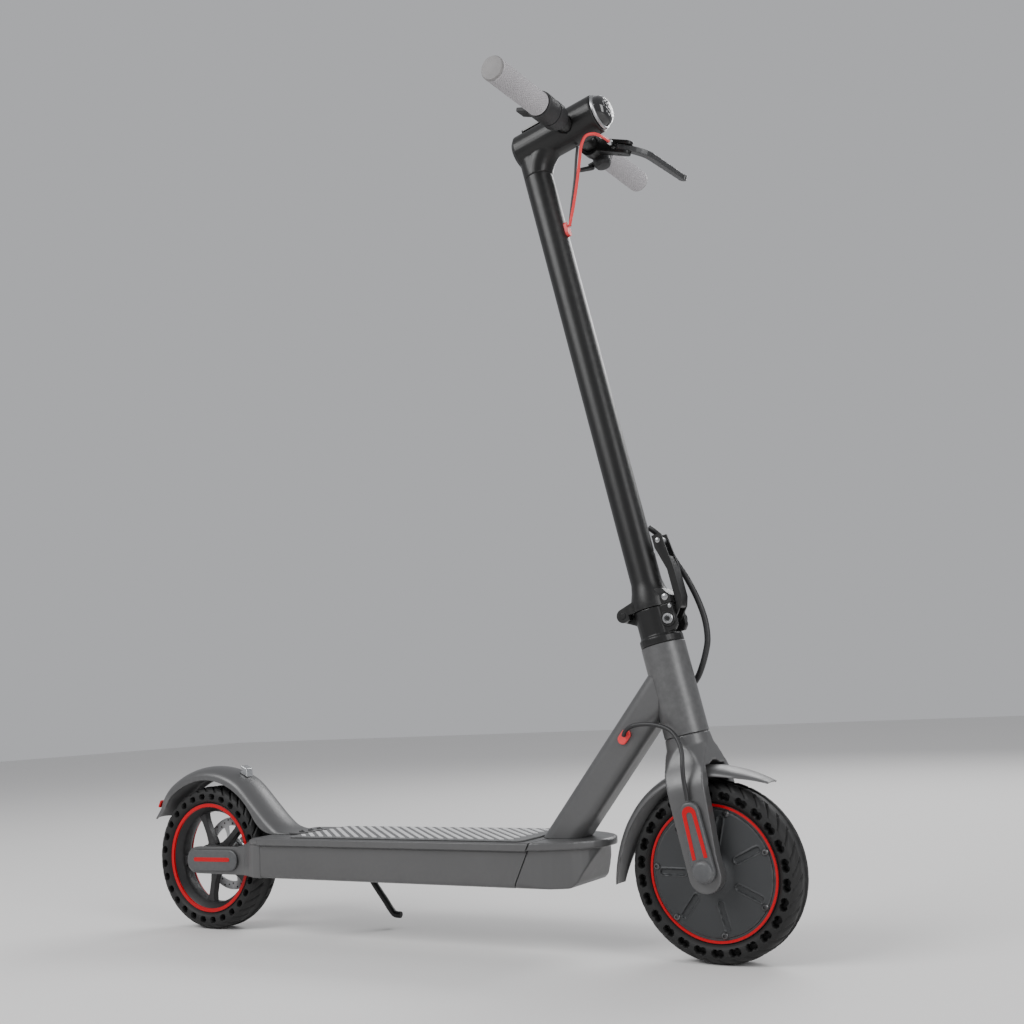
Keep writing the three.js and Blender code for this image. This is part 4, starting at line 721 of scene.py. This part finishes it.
def smooth_route(points, count):
    """Even points on a smooth curve through the given ones."""
    pts = [Vector(p) for p in points]
    pts = [2 * pts[0] - pts[1]] + pts + [2 * pts[-1] - pts[-2]]
    dense = []
    for a, b, c, d in zip(pts, pts[1:], pts[2:], pts[3:]):
        t1 = (b - a).length ** 0.5
        t2 = t1 + (c - b).length ** 0.5
        t3 = t2 + (d - c).length ** 0.5
        for i in range(20):
            t = t1 + (t2 - t1) * i / 20
            ab = a * (t1 - t) / t1 + b * t / t1
            bc = b * (t2 - t) / (t2 - t1) + c * (t - t1) / (t2 - t1)
            cd = c * (t3 - t) / (t3 - t2) + d * (t - t2) / (t3 - t2)
            abc = ab * (t2 - t) / t2 + bc * t / t2
            bcd = bc * (t3 - t) / (t3 - t1) + cd * (t - t1) / (t3 - t1)
            dense.append(abc * (t2 - t) / (t2 - t1) + bcd * (t - t1) / (t2 - t1))
    dense.append(pts[-2])
    lengths = [0.0]
    for a, b in zip(dense, dense[1:]):
        lengths.append(lengths[-1] + (b - a).length)
    even, at = [], 0
    for i in range(count):
        want = lengths[-1] * i / (count - 1)
        while at < len(lengths) - 2 and lengths[at + 1] < want:
            at += 1
        share = (want - lengths[at]) / max(1e-9, lengths[at + 1] - lengths[at])
        even.append(dense[at].lerp(dense[at + 1], min(1, share)))
    return even


def tube(points, radius, count=80, sides=20):
    line = smooth_route(points, count)
    ahead = (line[1] - line[0]).normalized()
    side = ahead.orthogonal().normalized()
    verts = []
    for i, p in enumerate(line):
        now = (line[min(i + 1, count - 1)] - line[max(i - 1, 0)]).normalized()
        side = (side - now * side.dot(now)).normalized()
        other = now.cross(side)
        for k in range(sides):
            angle = 2 * math.pi * k / sides
            verts.append(tuple(p + radius * (math.cos(angle) * side + math.sin(angle) * other)))
    faces = []
    for i in range(count - 1):
        near, far = i * sides, (i + 1) * sides
        faces += [[near + k, near + (k + 1) % sides, far + (k + 1) % sides, far + k] for k in range(sides)]
    faces += [list(range(sides))[::-1], list(range((count - 1) * sides, count * sides))]
    return verts, faces


leg = tube([(STAND_X, STAND_Y + 5.5, STAND_Z), (STAND_X + 12, STAND_Y + 7, STAND_Z - 18),
            (STAND_X + 26, STAND_Y + 10, STAND_Z - 38), (STAND_X + 37, STAND_Y + 12, STAND_Z - 54),
            (STAND_X + 43, STAND_Y + 12.5, STAND_Z - 59.5),
            (STAND_X + 54, STAND_Y + 13, STAND_Z - 60.5)], STAND_RADIUS)
piece_from(leg, "kickstand_leg", CHASSIS, black_coat, "kickstand", "black_paint", "kickstand", edges=1.0)
eye = lathe([(0, 0), (7.2, 0), (8, 0.8), (8, 7.2), (7.2, 8), (0, 8)], 40)
piece_from(eye, "kickstand_eye", CHASSIS @ Matrix.Translation((STAND_X, STAND_Y, STAND_Z)) @ AXLE, black_coat,
           "kickstand", "black_paint")

# Down tube and head tube: aluminium, welded together and coated with the deck. A red grommet closes the
# hole where the motor's cable leaves the tube.
TILT = math.radians(12)
STEER = (CHASSIS @ Matrix.Translation((WHEELBASE + 5 * math.cos(TILT), 0, TYRE_RADIUS + 5 * math.sin(TILT)))
         @ Matrix.Rotation(-TILT, 4, "Y"))
detailed("down_tube", grey_coat, "frame", "frame_paint", 0.8, angle=30)
head_tube = lathe([(28.7, 167.3), (28.7, 283.4), (28.1, 284), (24.3, 284), (24.3, 275.7), (20, 275.7),
                   (20, 175.6), (24.3, 175.6), (24.3, 167.3)], 120)
piece_from(head_tube, "head_tube_shell", STEER, grey_coat, "frame", "frame_paint", "head_tube")
coral = finish("soft red rubber", (0.83, 0.045, 0.05), (0.72, 0.03, 0.035), 0.45, scale=900, bump=0.25,
               worn_and_lit=(0.9, 0.2, 0.18))
detailed("downtube_grommet", coral, "frame", "red_rubber", 1.2)
for end in ("lower", "upper"):
    detailed("headset_" + end, steel, "frame", "steel", 0.8)

# Fork: one casting, crown and two legs, with the steerer pressed in. Its covers carry a red reflector that
# loops down round the axle boss.
cast("fork", grey_coat, "fork", "frame_paint", 1.4, 8)
LEG_FACE = 52.3
for side, label in ((-1, "right"), (1, "left")):
    mirror = Matrix.Scale(side, 4, (0, 1, 0))
    body = moved(plate(stadium(0, 6, 14.5, 2, 76, 12, 18), LEG_FACE, LEG_FACE + 8), SIDEWAYS)
    piece_from(body, "fork_cap_" + label, STEER @ mirror, cover_plastic, "fork", "frame_paint",
               "fork_cover_" + label, edges=2.4)
    boss = lathe([(0, 0), (13.2, 0), (13, 2.6), (11.6, 4.6), (8.5, 5.6), (0, 5.9)], 48)
    piece_from(boss, "fork_boss_" + label, STEER @ mirror @ Matrix.Translation((0, LEG_FACE + 7.2, 6)) @ AXLE,
               cover_plastic, "fork", "frame_paint")
    # The reflector is an arch, round at the top and open at the axle boss.
    outer = arc(1.8, 74, 8.8, -4, 184, 20) + [(-8.8, 21), (-4.6, 21)]
    inner = arc(1.8, 72, 4.0, 180, 0, 14) + [(6.4, 21), (10.8, 21)]
    loop = moved(plate(outer + inner, LEG_FACE + 7.2, LEG_FACE + 8.6), SIDEWAYS)
    piece_from(loop, "fork_reflector_" + label, STEER @ mirror, reflector_red, "fork", "frame_paint")
detailed("motor_axle", steel, "fork", "steel", 0.6)
detailed("motor_stator", steel, "fork", "steel", 0.6)

# Front fender: a moulded shell coated with the frame and screwed under the fork's crown. Both ends flare
# away from the tyre and draw in to narrow tips.
FRONT_CROWN, FRONT_STEPS, TIP_TAPER = 128, 72, 21
flared_crown, flared_skirt = [], []
for i in range(FRONT_STEPS + 1):
    angle = math.radians(54 + 134 * i / FRONT_STEPS)
    behind = max(0, angle - math.radians(143)) / math.radians(45)
    ahead = max(0, math.radians(80) - angle) / math.radians(26)
    radius = FRONT_CROWN + 12 * behind ** 2 + 5 * ahead ** 2
    taper = min(1, i / FRONT_STEPS / 0.3, (1 - i / FRONT_STEPS) / 0.3)
    skirt_radius = radius - (3.5 + 9.5 * math.sin(taper * math.pi / 2))
    flared_crown.append((WHEELBASE + radius * math.cos(angle), AXLE_Z + radius * math.sin(angle)))
    flared_skirt.append((WHEELBASE + skirt_radius * math.cos(angle), AXLE_Z + skirt_radius * math.sin(angle)))
front_halves = []
for x, z in flared_crown:
    drawn_in = max(0, (x - WHEELBASE - 40) / 50 if x > WHEELBASE else (170 - z) / 90)
    front_halves.append(min(FENDER_HALF, FENDER_HALF + 1 - TIP_TAPER * drawn_in))
piece_from(fender_shape(flared_crown, flared_skirt, front_halves), "front_fender_shell", CHASSIS,
           grey_coat, "fork", "frame_paint", "front_fender", angle=50)

# Front wheel: the motor's cast aluminium shell is the rim. A cover with seven raised slots closes its right
# side and is held by seven screws, and a red ring is snapped on beside the tyre on each side.
front_axle_place = CHASSIS @ Matrix.Translation((WHEELBASE, 0, TYRE_RADIUS)) @ AXLE
piece_from(tyre_shape(26, 7.5, 4.5, 1.3), "front_tyre_rubber", front_axle_place, tyre_rubber,
           "front_wheel", "tyre", "front_tyre", angle=60)
hub_coat = finish("hub coat", (0.048, 0.05, 0.052), (0.04, 0.042, 0.044), 0.5, 0.4, scale=1500, bump=0.3,
                  worn_and_lit=(0.15, 0.15, 0.15))
shell = lathe([(83, -20), (83, 20), (80.5, 20.8), (72, 24), (30, 27.4), (22, 28), (8, 28), (8, 24), (22, 24),
               (70, 20), (70, -16), (76.3, -16), (76.3, -20)], 144)
piece_from(shell, "motor_shell_cast", front_axle_place, hub_coat, "front_wheel", "hub_metal", "motor_shell",
           edges=0.4)
COVER_PROFILE = [(8, -19), (64, -19), (64, -16.3), (76, -16.3), (76, -20.6), (74.4, -21.4)]
COVER_PROFILE += [(74 - i, -21.5 - 0.055 * i) for i in range(46)]
COVER_PROFILE += [(26, -24.6), (22, -26.6), (20, -28.6), (18, -29), (8, -29)]
SLOTS = 7


def slot_relief(angle, radius, y):
    if not (28 < radius < 74 and y < -20.8):
        return 0, 0
    pitch = 2 * math.pi / SLOTS
    side = (((angle / pitch) % 1) - 0.5) * pitch
    across = abs(radius * math.sin(side))
    along = radius * math.cos(side) - 51
    reach = math.hypot(max(0, abs(along) - 14.2), across)
    wall = 1 - ramp(abs(reach - 4.6), 0.5, 1.2)
    floor_drop = 1 - ramp(reach, 2.8, 4.0)
    return 0, 1.9 * floor_drop - 0.7 * wall


cover_shape = lathe(COVER_PROFILE, 504, slot_relief)
piece_from(cover_shape, "motor_cover_cast", front_axle_place, hub_coat, "front_wheel", "hub_metal",
           "motor_cover", angle=50)
for i in range(SLOTS):
    angle = math.radians(360 / SLOTS * i + 30.7)
    place = front_axle_place @ Matrix.Rotation(angle, 4, "Z") @ Matrix.Translation((73.4, 0, -21.2))
    piece_from(moved(lathe(SCREW, 28), Matrix.Rotation(math.pi, 4, "X")), f"motor_screw_{i + 1}", place,
               screw_steel, "front_wheel", "hub_metal")
for side, label in ((-1, "right"), (1, "left")):
    mirror = Matrix.Scale(side, 4, (0, 0, 1))
    piece_from(ring_shape(79.0, 82.6, 21.4, 2.6), "front_ring_" + label, front_axle_place @ mirror,
               reflector_red, "front_wheel", "red_plastic")

# Folding base: a cast clamp on the steerer, with the fold pin at its rear and the lever's bolt at its front.
# The lever is cast too, and painted black. The safety catch on it is pressed from steel.
cast("folding_base", black_coat, "fork", "black_paint", 1.0, 5)
detailed("fold_pin", black_coat, "fork", "steel", 0.8)
detailed("fold_lever", black_coat, "fold_lever", "black_paint", 0.7)
detailed("safety_catch", steel, "safety_catch", "steel", 0.6)
LEVER_PIN = (24, 312.2)
CATCH_PIN = (35, 414.2)
bolt_steel = finish("bolt steel", (0.34, 0.345, 0.35), (0.26, 0.265, 0.27), 0.28, 0.9, scale=1600, bump=0.2,
                    worn_and_lit=(0.6, 0.6, 0.6))
BOLT_HEAD = [(0, 0), (7.2, 0), (7.2, 1.6), (6.4, 2.5), (4.0, 2.7), (3.5, 1.3), (0, 1.3)]
PIN_HEAD = [(0, 0), (3.4, 0), (3.4, 0.9), (2.6, 1.5), (0, 1.7)]
BOLT_RING = [(7.4, 0), (10.2, 0), (10.2, 1.2), (9.4, 1.9), (8.2, 1.9), (7.4, 1.2)]
for side, label in ((-1, "right"), (1, "left")):
    beside = STEER @ Matrix.Scale(side, 4, (0, 1, 0))
    for tag, (x, z), base, profile in (("bolt", LEVER_PIN, 19.1, BOLT_HEAD),
                                       ("pin", CATCH_PIN, 11.1, PIN_HEAD)):
        place = beside @ Matrix.Translation((x, base, z)) @ AXLE
        piece_from(lathe(profile, 40), f"fold_{tag}_{label}", place, bolt_steel, "fold_lever", "steel")
    for tag, (x, y, z), scale, body in (("foot_screw", (27, 17.8, 340), 1.3, "stem"),
                                        ("cheek_screw", (30.5, 18.8, 327), 0.75, "fork")):
        place = beside @ Matrix.Translation((x, y, z)) @ AXLE @ Matrix.Scale(scale, 4)
        piece_from(lathe(PIN_HEAD, 32), f"{tag}_{label}", place, bolt_steel, body, "steel")
    place = beside @ Matrix.Translation((LEVER_PIN[0], 18.9, LEVER_PIN[1])) @ AXLE
    piece_from(lathe(BOLT_RING, 40), "bolt_ring_" + label, place, black_coat, "fork", "black_paint")

# Stem: a drawn aluminium tube with a flared foot welded on, painted satin black. A red rubber grommet closes
# the hole where the cables enter it.
SPLIT = 331.7
STEM_TOP = SPLIT + 0.3 + 639
detailed("stem", black_coat, "stem", "black_paint", 0.6, angle=30)
detailed("stem_grommet", coral, "stem", "red_rubber", 1.2)

# Stem head: an aluminium casting that turns the stem forwards into a round barrel, painted with the stem. It
# has a smoked display let into its top, and the headlight's lens and bezel close its nose.
HEAD_Z = STEM_TOP + 0.3 + 48
cast("stem_head", black_coat, "stem", "black_paint", 1.1, 9)
smoked = finish("smoked panel", (0.006, 0.006, 0.007), (0.009, 0.009, 0.01), 0.3, coat=0.2, bump=0.03,
                wear_and_highlight=0.0)
detailed("display_panel", smoked, "stem", "screen", 0.5)
button_rubber = finish("button rubber", (0.5, 0.49, 0.5), (0.45, 0.44, 0.45), 0.6)
detailed("power_button", button_rubber, "power_button", "grip_rubber", 0.7)
BARREL = STEER @ Matrix.Translation((0, 0, HEAD_Z)) @ Matrix.Rotation(math.radians(90), 4, "Y")
bezel_metal = finish("bezel metal", (0.42, 0.425, 0.43), (0.34, 0.345, 0.35), 0.32, 0.9, bump=0.1, wear_and_highlight=0.0)
bezel = lathe([(19, 112.3), (24, 112.3), (25, 113), (25, 115.4), (24, 116.6), (22.5, 117), (19, 116)], 96)
piece_from(bezel, "headlight_bezel", BARREL, bezel_metal, "stem", "lamp", "headlight")
lens_glass = finish("lens glass", (0.012, 0.012, 0.013), (0.009, 0.009, 0.01), 0.1, coat=0.6, bump=0.02,
                    wear_and_highlight=0.0)
lens = lathe([(0, 113), (22.4, 113), (22.4, 118.5), (20.5, 123.5), (16, 128), (8.5, 130.9), (0, 131.8)], 96)
piece_from(lens, "headlight_lens", BARREL, lens_glass, "stem", "lamp")
cells = []
for row in range(-3, 4):
    for column in range(-3, 4):
        u, v = column * 5.2 + (row % 2) * 2.6, row * 4.5
        if math.hypot(u, v) > 15.5:
            continue
        rise = 131.6 - (u * u + v * v) * 0.0142
        corners = [math.radians(30 + 60 * k) for k in range(6)]
        outline = [(u + 2.3 * math.cos(a), v + 2.3 * math.sin(a)) for a in corners]
        cells.append(plate(outline, rise - 3.2, rise + 0.15))
cell_glass = finish("reflector cell", (0.16, 0.162, 0.166), (0.1, 0.102, 0.106), 0.22, 0.7, bump=0.05,
                    wear_and_highlight=0.0)
piece_from(merged(*cells), "headlight_cells", BARREL, cell_glass, "stem", "lamp")

# Handlebar and grips: a steel tube through the head, painted black. The grips are soft rubber moulded with
# rows of small dots, pushed onto the tube and closed by end caps.
BAR_X, BAR_Z = 69.0, HEAD_Z - 5
BAR = STEER @ Matrix.Translation((BAR_X, 0, BAR_Z)) @ AXLE
bar_tube = lathe([(9, -212), (11, -212), (11, 212), (9, 212)], 64)
piece_from(bar_tube, "handlebar_tube", BAR, black_coat, "stem", "black_paint", "handlebar")
grip_rubber = finish("grip rubber", (0.4, 0.385, 0.4), (0.35, 0.335, 0.35), 0.6, scale=1500, bump=0.25,
                     worn_and_lit=(0.6, 0.59, 0.6))
grip_cap = finish("grip cap", (0.2, 0.19, 0.19), (0.17, 0.165, 0.165), 0.5, bump=0.2)
GRIP_OUTER = resampled([(16.2, 100.5), (16.2, 208)], 0.75)
GRIP_PROFILE = ([(11.3, 97), (15.6, 97), (16.5, 98), (16.5, 99.8)] + GRIP_OUTER
                + [(16.5, 208.6), (16.4, 211), (11.3, 211)])


def dots(angle, radius, y):
    if not (101 < y < 207.5 and radius > 16):
        return 0, 0
    row = (y - 101) / 3.4
    column = angle * 30 / (2 * math.pi) + (0.5 if int(row) % 2 else 0)
    off = math.hypot((row % 1) - 0.5, (column % 1) - 0.5)
    return -0.6 + 0.85 * (1 - ramp(off, 0.22, 0.44)), 0


for side, label in ((1, "left"), (-1, "right")):
    mirror = Matrix.Scale(side, 4, (0, 0, 1))
    piece_from(lathe(GRIP_PROFILE, 210, dots), "grip_rubber_" + label, BAR @ mirror, grip_rubber, "stem",
               "grip_rubber", "grip_" + label, angle=60)
    cap = lathe([(0, 211.2), (16.3, 211.2), (16.3, 213), (15.2, 214.7), (13.6, 215), (0, 214.7)], 64)
    piece_from(cap, "grip_cap_" + label, BAR @ mirror, grip_cap, "stem", "grip_rubber")

# Thumb throttle: a moulded plastic collar clamped to the bar on the right of the head, with a sprung paddle
# that turns round the bar in a groove of the collar.
collar = lathe([(11.3, -96.7), (17.6, -96.7), (18.6, -95.6), (19, -92.7), (19, -78.3), (13.7, -78.3),
                (13.7, -65.7), (19, -65.7), (19, -52), (17.8, -46), (15, -40), (11.3, -40)], 80)
piece_from(collar, "throttle_collar", BAR, black_plastic, "stem", "black_plastic", "throttle_housing",
           edges=0.4)
detailed("throttle_lever", black_plastic, "throttle_lever", "black_plastic", 1.4)

# Brake: a cast clamp screwed to the left of the bar, painted black. The lever is cast aluminium, turns on a
# pin through the clamp and pulls the brake cable.
cast("brake_clamp", black_coat, "stem", "black_paint", 0.7, 5)
lever_grey = finish("lever grey", (0.07, 0.071, 0.072), (0.055, 0.056, 0.057), 0.34, 0.6, scale=1700,
                    bump=0.15, worn_and_lit=(0.3, 0.3, 0.3), wear_and_highlight=0.6)
cast("brake_lever", lever_grey, "brake_lever", "black_paint", 0.7, 6)

# Bell: a small moulded dome clamped under the bar on the left. A sprung thumb lever strikes the metal cup
# inside it.
detailed("bell", black_plastic, "stem", "black_plastic", 0.7)
detailed("bell_lever", black_plastic, "bell_lever", "black_plastic", 0.7)

# Cables: sheathed in rubber. The red brake cable and the thin signal wire run from the bar into the stem.
# Two black cables flex across the joints, one past the fold and one down the fork to the motor.
BRAKE_RADIUS, SIGNAL_RADIUS, FOLD_RADIUS, MOTOR_RADIUS = 2.1, 1.9, 4.0, 2.75
cable_rubber = finish("cable rubber", (0.014, 0.014, 0.015), (0.02, 0.02, 0.021), 0.45, scale=800, bump=0.2)
BRAKE_ROUTE = [(103.1, 42.6, BAR_Z - 20.9), (103.8, 34, BAR_Z - 21.6), (106, 16, BAR_Z - 26),
               (107, -2, BAR_Z - 30), (103, -17, BAR_Z - 31), (95, -26, BAR_Z - 34), (86, -28, BAR_Z - 45),
               (76, -23, BAR_Z - 61), (58, -13, BAR_Z - 88), (40, -5, BAR_Z - 114),
               (27.2, -1.5, BAR_Z - 133)]
SIGNAL_ROUTE = [(68, 4, BAR_Z - 24), (62, 4, BAR_Z - 38), (52, 4, BAR_Z - 66), (36, 4, BAR_Z - 103),
                (29, 3, BAR_Z - 122), (26.4, 3, BAR_Z - 131)]
piece_from(tube(BRAKE_ROUTE, BRAKE_RADIUS), "brake_cable_sheath", STEER, coral, "stem", "red_rubber",
           "brake_cable")
ferrule = lathe([(2.3, 0), (3.4, 0), (3.8, 1.2), (3.8, 7.5), (3.1, 9), (2.3, 9)], 32)
piece_from(ferrule, "brake_cable_ferrule", STEER @ Matrix.Translation((103.2, 43.2, BAR_Z - 21))
           @ Matrix.Rotation(math.radians(180), 4, "Z") @ AXLE, steel, "stem", "steel", edges=0.2)
piece_from(tube(SIGNAL_ROUTE, SIGNAL_RADIUS), "signal_wire", STEER, cable_rubber, "stem", "tyre",
           "signal_cable")


def across_joint(shape, name, place, material, slot, node, first):
    """A piece built on the first of two bodies, then taken off it and left unattached, with its placement
    baked in.
    """
    piece = piece_from(shape, name, place, material, first, slot, node)
    piece.parent = None
    piece.matrix_world = Matrix.Identity(4)
    del piece["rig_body"]
    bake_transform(piece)


FOLD_ROUTE = [(15.6, 18.6, SPLIT + 109), (19, 22.5, SPLIT + 104), (27, 24, SPLIT + 91), (36, 24, SPLIT + 60),
              (46, 24, SPLIT + 30), (53, 24, SPLIT - 2), (55, 24, SPLIT - 30), (51, 24, SPLIT - 55),
              (43, 24.5, SPLIT - 71), (34, 26, SPLIT - 84), (25, 28.5, SPLIT - 94), (15, 32, SPLIT - 101),
              (7, 34, SPLIT - 105)]
fold_line = smooth_route(FOLD_ROUTE, 81)
# The cable is split at the fold: the upper part is built on the stem and the lower part on the fork, and both
# are then left unattached.
middle = 44
upper_part = tube([tuple(p) for p in fold_line[:middle + 1]], FOLD_RADIUS, 70)
across_joint(upper_part, "fold_cable_upper", STEER, cable_rubber, "tyre", "fold_cable", "stem")
lower_part = tube([tuple(p) for p in fold_line[middle:]], FOLD_RADIUS, 60)
across_joint(lower_part, "fold_cable_lower", STEER, cable_rubber, "tyre", "fold_cable", "fork")
MOTOR_ROUTE = [(737, -32.3, 275), (741, -34.4, 281), (752, -37, 287), (770, -38, 289), (790, -39, 286.5),
               (806, -41, 280), (817, -45, 268), (823, -50, 253), (825, -55.6, 236), (826, -56.6, 220),
               (828, -56.8, 206), (828.8, -57, 197)]
across_joint(tube(MOTOR_ROUTE, MOTOR_RADIUS, 110), "motor_cable_sheath", CHASSIS, cable_rubber, "tyre",
             "motor_cable", "frame")
